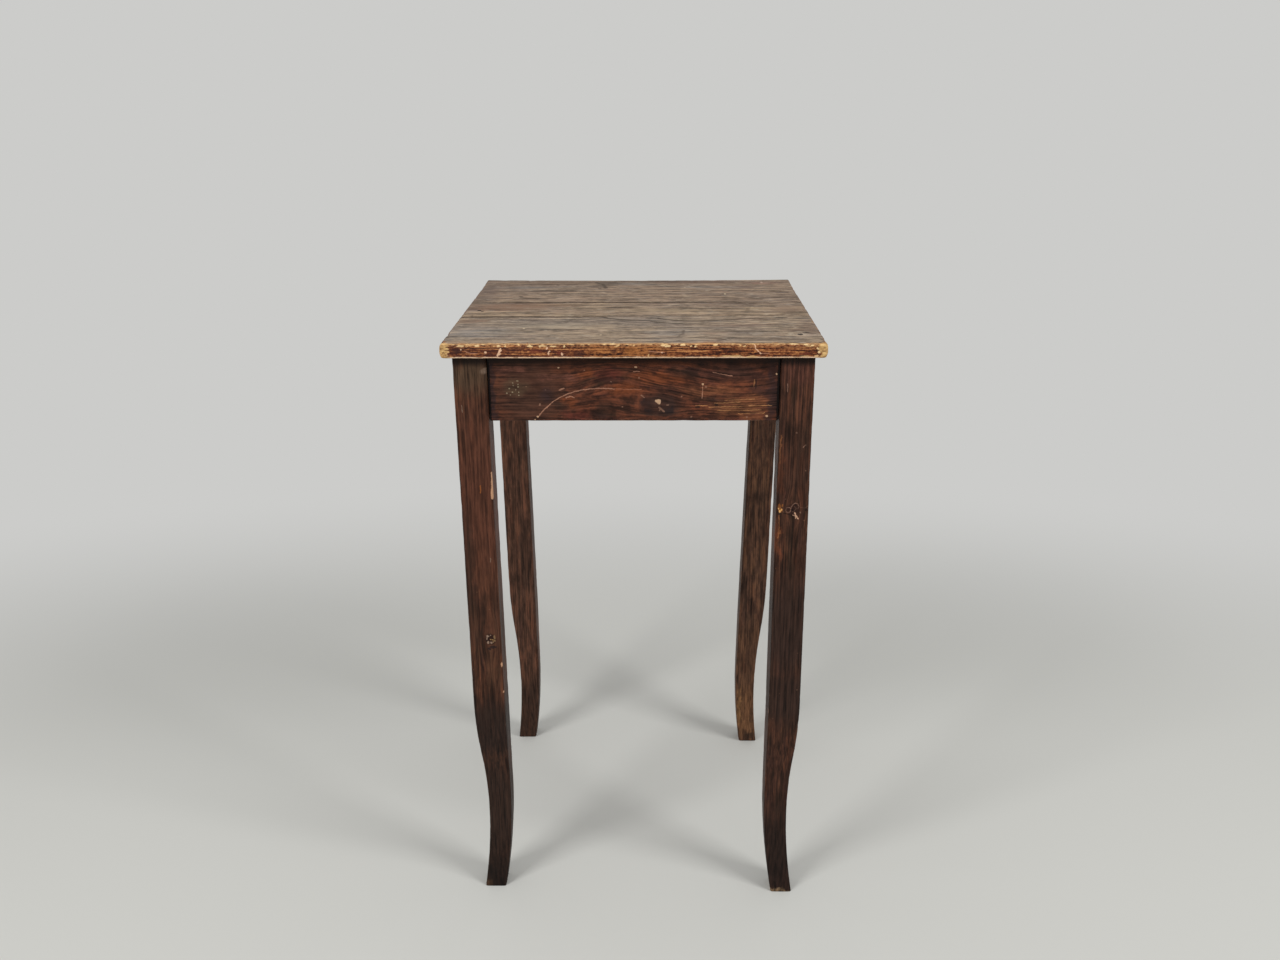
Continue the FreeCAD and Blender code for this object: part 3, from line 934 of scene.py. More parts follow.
@dataclass(frozen=True)
class RawFinish:
    """Sawn wood with no finish, darkened with age."""

    name: str
    log: Log
    light: Colour = (158, 122, 84)
    dark: Colour = (112, 80, 54)
    grime: Colour = (66, 50, 38)
    saw: float = 1.0

    def material(self) -> bpy.types.Material:
        """Builds the finish."""
        ground = Ground.of(self.name, self.log)
        paint, where, grain = ground
        parts = paint.split(where)
        along = parts[self.log.lay.value[0]]
        teeth = paint.noise(paint.join(along * 420.0, parts[2] * 30.0, 0.0), 1.0, 1.0)
        height = teeth * (0.10 * MM * self.saw) + grain.fibre * (0.06 * MM)
        colour = paint.mix(self.light, self.dark, grain.late * 0.7 + grain.streak * 0.3)
        coat = Coat(ground, colour, height, 0.72 + grain.fibre * 0.14)
        coat.shade(0.72 + grain.fibre * 0.45 - grain.pore * 0.2)
        coat.tint(self.grime, paint.noise(where, 34.0, 3.0, 0.6).rise(0.5, 0.75) * 0.4)
        return coat.finish(0.25)


@dataclass(frozen=True)
class SteelFinish:
    """Dull old steel, freckled with rust."""

    name: str
    steel: Colour = (148.877, 146.5921, 141.8803)
    rust: Colour = (92, 54, 34)

    def material(self) -> bpy.types.Material:
        """Builds the finish."""
        paint = Paint(self.name)
        where = paint.place()
        brushed = paint.noise(where, (900.0, 900.0, 2600.0), 2.0)
        rusty = paint.noise(where, 420.0, 3.0, 0.65).rise(0.52, 0.64)
        clean = paint.shade(self.steel, 0.75 + brushed * 0.5)
        return paint.close(paint.add("ShaderNodeBsdfPrincipled", {}, {
            "Base Color": paint.mix(clean, self.rust, rusty * 0.8),
            "Metallic": 1.0 - rusty * 0.85,
            "Roughness": 0.38 + rusty * 0.4,
            "Normal": paint.relief(rusty * (0.05 * MM) + brushed * (0.01 * MM)),
        }, "BSDF"))


# Meshes


# The least angle between two faces at which their edge is crisp.
CRISP = math.radians(34)
# How near two places are that count as one, and the least length of an edge that runs a whole piece.
TOUCH = 1e-5
LONG = 0.1


def box_mesh(low: Vector, high: Vector) -> bmesh.types.BMesh:
    """A closed box between two corners."""
    mesh = bmesh.new()
    bmesh.ops.create_cube(mesh, size=1.0)
    bmesh.ops.scale(mesh, vec=high - low, verts=mesh.verts)
    bmesh.ops.translate(mesh, vec=(low + high) / 2, verts=mesh.verts)
    return mesh


def soften(mesh: bmesh.types.BMesh, chosen: Callable[[Vector, Vector], bool], width: float,
           segments: int) -> None:
    """Rounds the edges whose two ends are chosen, a width into each face."""
    edges = [e for e in mesh.edges if chosen(e.verts[0].co, e.verts[1].co)]
    bmesh.ops.bevel(mesh, geom=edges, offset=width, offset_type="OFFSET", segments=segments,
                    profile=0.5, affect="EDGES", material=-1)


def slice_at(mesh: bmesh.types.BMesh, normal: Vector, places: Iterable[Vector]) -> None:
    """Adds a loop of edges where each of a row of parallel planes meets the mesh.

    Args:
        mesh: The mesh.
        normal: The planes' direction.
        places: A point on each.
    """
    for place in places:
        geometry = [*mesh.verts, *mesh.edges, *mesh.faces]
        bmesh.ops.bisect_plane(mesh, geom=geometry, dist=1e-6, plane_co=place, plane_no=normal)


def steps(low: float, high: float, pitch: float) -> list[float]:
    """Evenly spaced values strictly between two, about a pitch apart."""
    count = max(2, round((high - low) / pitch))
    return [low + (high - low) * i / count for i in range(1, count)]


def slice_evenly(mesh: bmesh.types.BMesh, low: Vector, high: Vector, pitches: Vector) -> None:
    """Divides a box-like mesh into a grid.

    Args:
        mesh: The mesh.
        low: Its low corner.
        high: Its high corner.
        pitches: The spacing of the cuts along X, Y and Z.
    """
    for axis in range(3):
        normal = Vector((0.0, 0.0, 0.0))
        normal[axis] = 1.0
        slice_at(mesh, normal, [normal * s for s in steps(low[axis], high[axis], pitches[axis])])


def reshape(mesh: bmesh.types.BMesh, mover: Callable[[Vector], Vector]) -> None:
    """Moves each vertex to where a function puts it."""
    for vertex in mesh.verts:
        vertex.co = mover(vertex.co)


def ripple(spot: Vector, per_metre: float, seed: float) -> float:
    """Smooth repeatable noise from about -1 to 1, with a number of waves in a metre."""
    return noise.noise(spot * per_metre + Vector((seed, -seed, 0.37 * seed)))


def bites(spot: Vector, per_metre: float, seed: float) -> float:
    """Repeatable noise that is mostly 0 and rises towards 1 in places."""
    return max(0.0, ripple(spot, per_metre, seed) - 0.12) / 0.6


def add_object(name: str, data: bpy.types.ID) -> bpy.types.Object:
    """Puts an object with its data into the scene."""
    item = bpy.data.objects.new(name, data)
    bpy.context.scene.collection.objects.link(item)
    return item


def add_mesh(mesh: bmesh.types.BMesh, name: str, material: bpy.types.Material) -> bpy.types.Object:
    """Turns a finished mesh into an object.

    Args:
        mesh: The mesh, which is freed.
        name: The object's name.
        material: Its finish.

    Returns:
        The object, at the origin.
    """
    data = bpy.data.meshes.new(name)
    mesh.to_mesh(data)
    mesh.free()
    data.materials.append(material)
    return add_object(name, data)


def as_piece(mesh: bmesh.types.BMesh, name: str, material: bpy.types.Material) -> bpy.types.Object:
    """Turns a finished mesh into a piece with smooth faces and crisp edges.

    Args:
        mesh: The mesh, which is freed.
        name: The piece's name.
        material: Its finish.

    Returns:
        The piece, at the origin.
    """
    bmesh.ops.recalc_face_normals(mesh, faces=mesh.faces)
    piece = add_mesh(mesh, name, material)
    faces = piece.data.polygons
    faces.foreach_set("use_smooth", [True] * len(faces))
    piece.data.set_sharp_from_angle(angle=CRISP)
    return piece


def stand_at(signs: tuple[int, int], turn: float, level: float = 0.0, recess: float = 0.0) -> Matrix:
    """Carries a piece's own frame to its corner or side of the frame of legs and aprons.

    Args:
        signs: The way that the spot lies from the middle, along X and along Y.
        turn: The piece's turn about Z, in degrees.
        level: The spot's height.
        recess: How far it lies inside the frame's outside.

    Returns:
        The pose.
    """
    x, y = (sign * (size / 2 - recess) for sign, size in zip(signs, FRAME_SIZE))
    return Matrix.Translation((x, y, level)) @ Matrix.Rotation(math.radians(turn), 4, "Z")


def enlist(piece: bpy.types.Object, node: str) -> None:
    """Sets a new piece in the table in place of a CAD node.

    Args:
        piece: The piece.
        node: The node that it stands for.
    """
    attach(piece, "root")
    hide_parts(node)
    log.info("%s: %d faces, for %s", piece.name, len(piece.data.polygons), node)


# The top


@dataclass(frozen=True)
class Seam:
    """A glued joint between two boards, which has opened a little."""

    left: float
    right: float
    gap: float
    dark: tuple[float, float]
    dirt: float

    def y(self, x: float) -> float:
        """The seam's Y at an X."""
        return self.left + (self.right - self.left) * (x / TOP_WIDTH + 0.5)

    def before(self, x: float) -> float:
        """The back edge of the board in front of the seam."""
        return self.y(x) - self.gap / 2

    def beyond(self, x: float) -> float:
        """The front edge of the board behind the seam."""
        return self.y(x) + self.gap / 2


@dataclass(frozen=True)
class TableTop:
    """Three boards edge to edge, rounded by wear along their outer arrises."""

    width: float = TOP_WIDTH
    depth: float = TOP_DEPTH
    low: float = TOP_LOW
    high: float = TOP_HIGH
    corner: float = 8 * MM
    back_corner: float = 2.5 * MM
    upper_arris: float = 3.2 * MM
    lower_arris: float = 2.0 * MM
    pitch: float = 4.5 * MM
    seam_line: float = 2.4 * MM
    seam_strip: float = 1.1 * MM
    front_seam: Seam = Seam(-0.06085, -0.05085, 0.3 * MM, (-0.218, -0.070), 4.2 * MM)
    back_seam: Seam = Seam(0.02985, 0.02985, 0.3 * MM, (-0.15, 0.12), 3.8 * MM)

    def corners(self) -> tuple[Vector, Vector]:
        """The top's low and high corners."""
        half = Vector((self.width / 2, self.depth / 2, 0.0))
        return Vector((0, 0, self.low)) - half, Vector((0, 0, self.high)) + half

    def darken_seams(self, coat: Coat) -> None:
        """Draws the dirt that lies along the seams.

        Args:
            coat: The surface of a board, which is changed.
        """
        paint, where, _ = coat.ground
        x, y, _ = paint.split(where)
        breaks = paint.noise(where, (38.0, 9.0, 9.0), 3.0, 0.65)
        fray = paint.noise(where, (130.0, 340.0, 340.0), 3.0, 0.68).rise(0.30, 0.70)
        for seam in (self.front_seam, self.back_seam):
            slope = (seam.right - seam.left) / self.width
            off = (y - (seam.left + seam.right) / 2 - x * slope).size()
            start, end = seam.dark
            held = x.rise(start - 0.03, start) * x.fall(end, end + 0.06)
            reach = held * (seam.dirt - self.seam_line) + self.seam_line
            strength = (held * 0.30 + 0.68) * (breaks + held * 0.10).rise(0.36, 0.50)
            line = off.fall(reach * 0.2, reach * (fray * 0.9 + 0.35)) * strength
            coat.tint(SEAM_DIRT, line)
            coat.height = coat.height - line * (0.2 * MM)
            coat.tint(SEAM_STAIN, off.fall(2 * MM, 8 * MM) * (held * 0.12 + 0.03))

    def worn(self, spot: Vector) -> Vector:
        """Where wear has taken a point of the sound top.

        Args:
            spot: The point.

        Returns:
            Its place on the worn top, never outside the sound one.
        """
        gap_x = self.width / 2 - abs(spot.x)
        gap_y = self.depth / 2 - abs(spot.y)
        up, down = self.high - spot.z, spot.z - self.low
        side = min(gap_x, gap_y)
        moved = spot.copy()
        near_side = max(0.0, 1 - side / (6 * MM))
        near_top = max(0.0, 1 - up / (7 * MM))
        near_bottom = max(0.0, 1 - down / (4 * MM))
        bite = 0.9 * MM * bites(spot, 55.0, 4.0) + 0.5 * MM * bites(spot, 140.0, 9.0)
        if gap_x < gap_y:
            bite += 1.2 * MM * min(1.0, (self.depth / 2 - spot.y) / (60 * MM))
        inwards = bite * near_side * max(near_top, near_bottom)
        if gap_x <= gap_y:
            moved.x -= math.copysign(inwards, spot.x)
        if gap_y <= gap_x:
            moved.y -= math.copysign(inwards, spot.y)
        moved.z -= bite * near_side * near_top
        moved.z += 0.5 * bite * near_side * near_bottom
        for seam in (self.front_seam, self.back_seam):
            if abs(spot.y - seam.y(spot.x)) < seam.gap and up < 1 * MM:
                held = max(0.0, min(1.0, (seam.dark[1] - spot.x) / 0.04))
                moved.z -= MM * (0.25 + 0.35 * held + 0.5 * bites(spot, 40.0, 6.0))
        share = 1 - up / (self.high - self.low)
        cup = 0.12 * MM * (1 + ripple(Vector((spot.x, spot.y, 0)), 16.0, 2.0))
        back = max(0.0, min(1.0, (spot.y - 0.10) / 0.10))
        sag = back * back * MM * (0.7 + 1.0 * (1 - (2 * spot.x / self.width) ** 2))
        moved.z -= share * (cup + sag)
        return moved

    def board(self, front: Callable[[float], float], back: Callable[[float], float],
              free_front: bool, free_back: bool) -> bmesh.types.BMesh:
        """One board between its two long edges.

        Args:
            front: Gives the front edge's Y at an X.
            back: Gives the back edge's Y.
            free_front: Whether the front edge is part of the top's outline.
            free_back: Whether the back edge is.

        Returns:
            The board's mesh.
        """
        half = self.width / 2
        mesh = box_mesh(Vector((-half, 0.0, self.low)), Vector((half, 1.0, self.high)))
        reshape(mesh, lambda p: Vector((p.x, back(p.x) if p.y > 0.5 else front(p.x), p.z)))

        def is_free(p: Vector) -> bool:
            """Whether a point lies on the outline's front or back edge."""
            reach = self.depth / 2 - TOUCH
            return (free_front and p.y < -reach) or (free_back and p.y > reach)

        def is_corner(p: Vector, q: Vector) -> bool:
            """Whether an edge is one of the outline's upright corners."""
            return abs(p.z - q.z) > 1 * MM and is_free(p)

        rounding = self.corner if free_front else self.back_corner
        soften(mesh, is_corner, rounding, 6)

        def on_outline(p: Vector, q: Vector, level: float) -> bool:
            """Whether an edge runs round the outline at a level."""
            ends = (p, q)
            if any(abs(e.z - level) > TOUCH for e in ends):
                return False
            on_side = p.x * q.x > 0 and all(abs(abs(e.x) - half) < TOUCH for e in ends)
            inset = rounding + TOUCH
            rounded = all(
                abs(e.x) > half - inset and abs(e.y) > self.depth / 2 - inset for e in ends
            )
            return on_side or rounded or all(map(is_free, ends))

        soften(mesh, lambda p, q: on_outline(p, q, self.high), self.upper_arris, 5)
        soften(mesh, lambda p, q: on_outline(p, q, self.low), self.lower_arris, 3)
        low = Vector((-half, min(front(-half), front(half)), self.low))
        high = Vector((half, max(back(-half), back(half)), self.high))
        slice_evenly(mesh, low, high, Vector((self.pitch, self.pitch, 5 * MM)))
        for edge, side, free in ((front, 1, free_front), (back, -1, free_back)):
            if not free:
                run = Vector((2 * half, edge(half) - edge(-half), 0.0))
                spot = Vector((-half, edge(-half) + side * self.seam_strip, self.low))
                slice_at(mesh, Vector((-run.y, run.x, 0.0)).normalized(), (spot,))
        reshape(mesh, self.worn)
        return mesh

    def build(self) -> None:
        """Builds and dresses the three boards."""
        half = self.depth / 2
        front_seam, back_seam = self.front_seam, self.back_seam
        boards = {
            "front": self.board(lambda x: -half, front_seam.before, True, False),
            "middle": self.board(front_seam.beyond, back_seam.before, False, False),
            "back": self.board(back_seam.beyond, lambda x: half, False, True),
        }
        for place, mesh in boards.items():
            piece = as_piece(mesh, f"weathered_board_{place}", TOP_FINISHES[place].material(self))
            enlist(piece, f"top_board_{place}")


TOP_FACE = Side((0, 1, 2), TOP_HIGH, 0.0)
FRONT_EDGE = Side((0, 2, 1), -TOP_DEPTH / 2, 0.1)

RED_BROWN = (112, 78, 58)
MAROON = (84, 58, 50)
BLUE_GREY = (120, 122, 124)
DARK_STAIN = (66, 52, 42)
SHAKE = (62, 47, 37)
DEEP_SHAKE = (39, 28, 22)

# Scratches and worn flecks in the varnish of the front edge.
FRONT_EDGE_MARKS = (
    wash((58, 33, 29), 0.85,
         (-197, 741.5, 7, 3.6), (-60, 739.5, 9, 3.5), (22, 739.5, 9, 2.6), (-22, 741, 5, 3.4)),
    wash((112, 50, 38), 0.70, (-110, 741, 10, 3), (-82, 739.5, 6, 3), (190, 738.5, 9, 2)),
    wash((186, 118, 58), 0.45, (-2, 742, 12, 5)),
    strokes(
        (182, 130, 102), 0.75,
        (0.8, (-187.8, 742), (-185, 739.8), (-180, 738.8), (-174, 739.2)),
        (0.9, (18, 741.4), (25, 740.4), (34, 740)),
        (0.7, (142, 738.6), (152, 738.9)),
    ),
)

# Chips that show the palest wood, along the front edge.
FRONT_EDGE_CHIPS = (
    strokes((214, 176, 126), 0.40, (1.2, (-214, 749.3), (214, 749.3)), broken=0.45),
    patch((238, 204, 150), 0.90,
          (-192.5, 747.4, 4.6, 1.1), (-174.2, 747.6, 2.6, 1.2), (-150.6, 747.4, 3.4, 1.3),
          (-142.6, 747, 1.4, 1.1), (-116.2, 747.6, 2.2, 1.7), (-113.4, 746.6, 2.6, 1.1),
          (-104.5, 746.6, 1.6, 1.5), (-100.5, 747.4, 5.4, 0.9), (-89, 747, 4.5, 0.9),
          (-76.8, 746.9, 1.5, 1.4), (-22, 749.4, 3.4, 0.8), (33, 747.9, 3, 1),
          (38.6, 747.1, 4.4, 1.3), (55.5, 748.3, 3, 0.9), (64, 746.8, 1.3, 1),
          (69.4, 746.8, 1.4, 1.5), (91.8, 748.3, 3.4, 1.1),
          (124, 747, 1.4, 1), (178.8, 749, 5.6, 0.8), (192, 748.6, 4, 0.9),
          (198.8, 747.6, 2, 1.1), (205.4, 744.6, 1.6, 1.4), (207, 740.2, 1.6, 2), broken=0.35),
    patch((224, 184, 130), 0.80,
          (132.5, 734.8, 7.5, 1.6), (110, 735.6, 14, 1.2), (192, 735.4, 6, 1),
          (204, 735.6, 3, 1.6), (16.8, 736, 1, 2.4), broken=0.35),
    Mark((236, 192, 156), 0.92,
         ((-165, 740.1, 1.9, 1.4), (-94.6, 738.9, 1.1, 2.4), (-93.6, 741.6, 1.2, 1.2),
          (-79.2, 738.2, 1, 2), (-96.6, 744.8, 1.5, 1.4), (-192.6, 743.2, 1.1, 1.3),
          (31.8, 740, 1.3, 0.9)),
         ((2.4, (-147.4, 744), (-151.4, 736.4)),
          (1, (134.4, 748.4), (137.6, 743), (142, 738.6))), broken=0.25),
)


def board_log(pith: tuple[float, float], ring: float, shift: float, wander: float,
              *eddies: Eddy) -> Log:
    """How a board of the top lies in its log."""
    return Log(Lay.BOARD, pith, ring, shift, wander, eddies, 160, 64)


TOP_FINISHES = {
    "front": TopFinish(
        "weathered_front_board",
        board_log(
            (-0.120, 0.735), 4.2 * MM, 0.40, 0.030,
            Eddy(0.072, -0.062, (0.140, 0.075), 0, -0.026),
            Eddy(0.193, -0.156, (0.045, 0.030), 0.80),
            Eddy(0.054, -0.160, (0.050, 0.026), 0.55),
        ),
        (148, 129, 109), (135, 120, 106),
        (
            wash(BLUE_GREY, 0.34, (45, -146, 44, 28), (-175, -146, 60, 36)),
            wash(RED_BROWN, 0.50, (-200, -84, 26, 20)),
            wash(MAROON, 0.50, (206, -118, 16, 60), (125, -108, 52, 12)),
            wash(DARK_STAIN, 0.55, (56, -164, 8, 18), (-70, -186, 70, 9), (150, -184, 70, 7)),
            wash((158, 144, 124), 0.50, (-90, -110, 90, 22)),
        ),
        (
            shake(
                DEEP_SHAKE, 1,
                (5.2, (-46, -57), (-35, -66), (-20, -74), (5, -79), (16, -82)),
                (4.2, (16, -82), (28, -90), (42, -94)),
                (5, (14, -66), (27, -68), (37, -75), (50, -81)),
                (7.2, (50, -81), (75, -84), (96, -80), (122, -75)),
                (5.4, (122, -75), (134, -70), (160, -68), (184, -64)),
                depth=0.15 * MM, broken=0.30,
            ),
            shake(SHAKE, 0.60, (7, (-200, -70), (-150, -74)), broken=0.6),
            shake(SHAKE, 0.72, (5, (57, -134), (57, -150), (52, -166)),
                  spots=((56, -154, 4, 11),)),
        ),
        (
            patch(HOLE_AND_SHADE_BLACK, 0.95, (191, -156.5, 3.6, 4.6), (199, -145.5, 5, 2.4), depth=0.7 * MM),
            patch((206, 186, 156), 0.66, (-130, -123, 1.6, 4), (-38, -158, 1.4, 2.6)),
        ),
        FRONT_EDGE_MARKS,
        FRONT_EDGE_CHIPS,
    ),
    "middle": TopFinish(
        "weathered_middle_board",
        board_log(
            (-0.010, 0.690), 3.4 * MM, 1.10, 0.024, Eddy(-0.197, -0.020, (0.050, 0.034), 0.8),
        ),
        (146, 125, 103), (134, 115, 98),
        (
            wash(RED_BROWN, 0.68, (-160, 2, 70, 36)),
            wash((132, 98, 72), 0.40, (-110, 14, 60, 16)),
            wash(MAROON, 0.45, (-208, 2, 18, 44)),
            wash((164, 144, 116), 0.45, (150, -12, 22, 16), (40, -20, 100, 16)),
            wash((112, 86, 72), 0.50, (192, -12, 30, 34)),
            wash(DARK_STAIN, 0.75, (198, -44, 26, 7)),
        ),
        (
            shake(SHAKE, 0.60, (5, (96, 22), (132, 20)), (6, (196, -34), (206, -36))),
        ),
        (
            patch(HOLE_AND_SHADE_BLACK, 0.95, (-197.5, -19.5, 3.2, 4), (-193, -25, 2, 2.4),
                  (-202, -52, 2, 2), depth=0.6 * MM),
            patch((84, 62, 46), 0.70, (142, -13, 3, 5), broken=0.4),
            patch((184, 160, 128), 0.70, (148, -4, 3, 3)),
        ),
    ),
    "back": TopFinish(
        "weathered_back_board",
        board_log(
            (0.150, 0.700), 3.8 * MM, 2.30, 0.028, Eddy(-0.046, 0.134, (0.050, 0.032), 0.7),
        ),
        (140, 119, 100), (128, 110, 95),
        (
            wash((108, 84, 66), 0.55, (-120, 180, 100, 34)),
            wash(MAROON, 0.60, (80, 186, 96, 26), (150, 140, 22, 16)),
            wash((92, 76, 72), 0.60, (-204, 120, 24, 90)),
            wash(DARK_STAIN, 0.70, (-44, 168, 22, 36), (-140, 58, 30, 6)),
            wash((150, 112, 98), 0.60, (178, 172, 36, 16)),
            wash(BLUE_GREY, 0.30, (-150, 138, 70, 14), (100, 140, 90, 12), (-10, 170, 40, 16)),
        ),
        (
            shake(
                DEEP_SHAKE, 0.85,
                (6, (-155, 74), (-153, 64), (-146, 61), (-130, 59)),
                (6.4, (-60, 180), (-50, 166), (-45, 140), (-30, 136)),
                (5.4, (-74, 132), (-45, 136)),
                depth=0.12 * MM, broken=0.7,
            ),
            shake(SHAKE, 0.60, (6.4, (66, 60), (100, 62), (134, 60)),
                  (6.4, (163, 63), (188, 62))),
        ),
        (
            patch(HOLE_AND_SHADE_BLACK, 0.95, (-44, 134, 4, 3.6), (-52, 131, 2.4, 2.4), (-112, 158, 3, 2.6),
                  depth=0.5 * MM),
            patch((206, 186, 156), 0.62, (119, 88, 1.6, 5), (66, 138, 1.4, 2.4)),
            patch((196, 168, 150), 0.60, (176, 176, 2, 8)),
        ),
    ),
}


# Legs


@dataclass(frozen=True)
class Bend:
    """An upright arc of a leg's outline, in inwards and height, from a start along a heading."""

    start: Vector
    heading: Vector
    end: Vector

    def centre(self) -> Vector:
        """The arc's centre."""
        chord = self.end - self.start
        side = self.heading.orthogonal().normalized()
        return self.start + side * (chord.length_squared / (2 * side.dot(chord)))

    def inwards(self, height: float) -> float:
        """How far in the arc is at a height."""
        centre = self.centre()
        radius = (self.start - centre).length
        reach = math.sqrt(max(0.0, radius ** 2 - (height - centre.y) ** 2))
        return centre.x + math.copysign(reach, (self.start + self.end).x / 2 - centre.x)

    def heading_out(self) -> Vector:
        """The heading at the arc's end."""
        spoke = (self.end - self.centre()).orthogonal()
        return spoke if spoke.dot(self.end - self.start) > 0 else -spoke


@dataclass(frozen=True)
class Outline:
    """One view of a leg: a straight outer face with a hollow ankle, and a swelling inner face."""

    lean: float
    size: float
    block_foot: float
    knee: float = 0.290
    hollow: tuple[float, float] = (0.0103, 0.120)
    toe: float = 0.001
    calf: tuple[float, float] = (0.0404, 0.150)
    heel: float = 0.029

    def leaning(self, inwards: float, height: float) -> Vector:
        """A point of the upright leg, carried inwards by the lean."""
        return Vector((inwards + self.lean * (1 - height / self.block_foot), height))

    def outer(self, height: float) -> float:
        """The outer face's place at a height."""
        if height >= self.block_foot:
            return 0.0
        if height >= self.knee:
            return self.leaning(0.0, height).x
        deep, level = self.hollow
        knee = self.leaning(0.0, self.knee)
        half = self.leaning(deep / 2, (self.knee + level) / 2)
        ankle = self.leaning(deep, level)
        upper = Bend(knee, knee - Vector((0.0, self.block_foot)), half)
        middle = Bend(half, upper.heading_out(), ankle)
        foot = Bend(ankle, middle.heading_out(), self.leaning(self.toe, 0.0))
        bend = upper if height > half.y else middle if height > ankle.y else foot
        return bend.inwards(height)

    def inner(self, height: float) -> float:
        """The inner face's place at a height."""
        top = Vector((self.size, self.block_foot))
        if height >= self.block_foot:
            return self.size
        calf = self.leaning(*self.calf)
        if height >= calf.y:
            return calf.x + (top.x - calf.x) * (height - calf.y) / (top.y - calf.y)
        return Bend(calf, calf - top, self.leaning(self.heel, 0.0)).inwards(height)


@dataclass(frozen=True)
class Leg:
    """A square leg sawn to the same curves in both views, with rubbed arrises."""

    corner: str
    signs: tuple[int, int]
    turn: float
    leans: tuple[float, float]
    size: float = LEG_SIZE
    height: float = TOP_LOW
    block_foot: float = APRON_LOW
    arris: float = 2.3 * MM
    curved: float = 0.300
    slices: tuple[float, ...] = (0.12, 0.3, 0.5, 0.7, 0.88)

    def mesh(self) -> bmesh.types.BMesh:
        """The worn leg, in the table's frame."""
        views = tuple(Outline(lean, self.size, self.block_foot) for lean in self.leans)
        blank = box_mesh(Vector((0.0, 0.0, 0.0)), Vector((self.size, self.size, self.height)))
        soften(blank, lambda p, q: abs(p.z - q.z) > LONG, self.arris, 4)
        soften(blank, lambda p, q: max(p.z, q.z) < TOUCH, 1.0 * MM, 2)
        upright = Vector((0.0, 0.0, 1.0))
        curve, straight = steps(0.0, self.curved, 4 * MM), steps(self.curved, self.height, 7 * MM)
        slice_at(blank, upright, [upright * h for h in (*curve, self.curved, *straight)])
        for side in (Vector((1.0, 0.0, 0.0)), Vector((0.0, 1.0, 0.0))):
            slice_at(blank, side, [side * (self.size * share) for share in self.slices])

        distances = blank.verts.layers.float.new("arris")
        middle = self.size / 2
        seed = 3.0 + self.turn / 31.0
        for vertex in blank.verts:
            u, v, h = vertex.co
            gap_u, gap_v = middle - abs(u - middle), middle - abs(v - middle)
            vertex[distances] = max(gap_u, gap_v)
            spot = Vector((u, v, h))
            near = max(0.0, 1 - max(gap_u, gap_v) / (6 * MM))
            foot = max(0.0, 1 - h / (16 * MM))
            wear = 0.7 * bites(spot, 48.0, seed) + 0.4 * bites(spot, 130.0, seed + 5) + 0.5 * foot
            plane = 0.12 * MM * (1 + ripple(Vector((u, v, h * 0.4)), 34.0, seed + 9))
            pull = near * MM * (0.15 + wear) + (plane if h < self.block_foot else 0.0)
            towards = Vector((middle - u, middle - v))
            if towards.length > 0:
                reach = max(abs(towards.x), abs(towards.y))
                u += towards.x / reach * pull
                v += towards.y / reach * pull
            faces = [(view.outer(h), view.inner(h)) for view in views]
            a, b = (low + (high - low) * t / self.size for (low, high), t in zip(faces, (u, v)))
            vertex.co = Vector((a, b, h))
        bmesh.ops.transform(blank, matrix=stand_at(self.signs, self.turn), verts=blank.verts)
        return blank

    def build(self) -> None:
        """Builds and dresses the leg."""
        def arris_of(paint: Paint, where: Sock) -> Sock:
            """The distance from an arris that the mesh carries."""
            return paint.add("ShaderNodeAttribute", {"attribute_name": "arris"}, {}, "Fac")

        finish = LEG_FINISHES[self.corner]
        piece = as_piece(self.mesh(), f"curved_leg_{self.corner}", finish.material(arris_of))
        enlist(piece, f"leg_{self.corner}")


LEGS = (
    Leg("front_left", (-1, -1), 0.0, (0.0, 0.002)),
    Leg("front_right", (1, -1), 90.0, (-0.007, -0.003)),
    Leg("back_right", (1, 1), 180.0, (0.014, 0.002)),
    Leg("back_left", (-1, 1), 270.0, (-0.008, 0.005)),
)

LEG_DEEP = (51, 32, 23)
LEG_PLAIN = (69, 43, 31)
LEG_BRIGHT = (88, 54, 38)
LEG_RUBBED = (140, 102, 80)
LEG_FRONT = Side((0, 2, 1), -FRAME_SIZE[1] / 2, 0.4)
BACK_LEG_FRONT = Side((0, 2, 1), 0.155, 0.4)


def leg_log(pith: tuple[float, float], ring: float, shift: float, wander: float, streaks: float,
            *eddies: Eddy) -> Log:
    """How a leg lies in its log."""
    return Log(Lay.POST, pith, ring, shift, wander, eddies, streaks, 36)


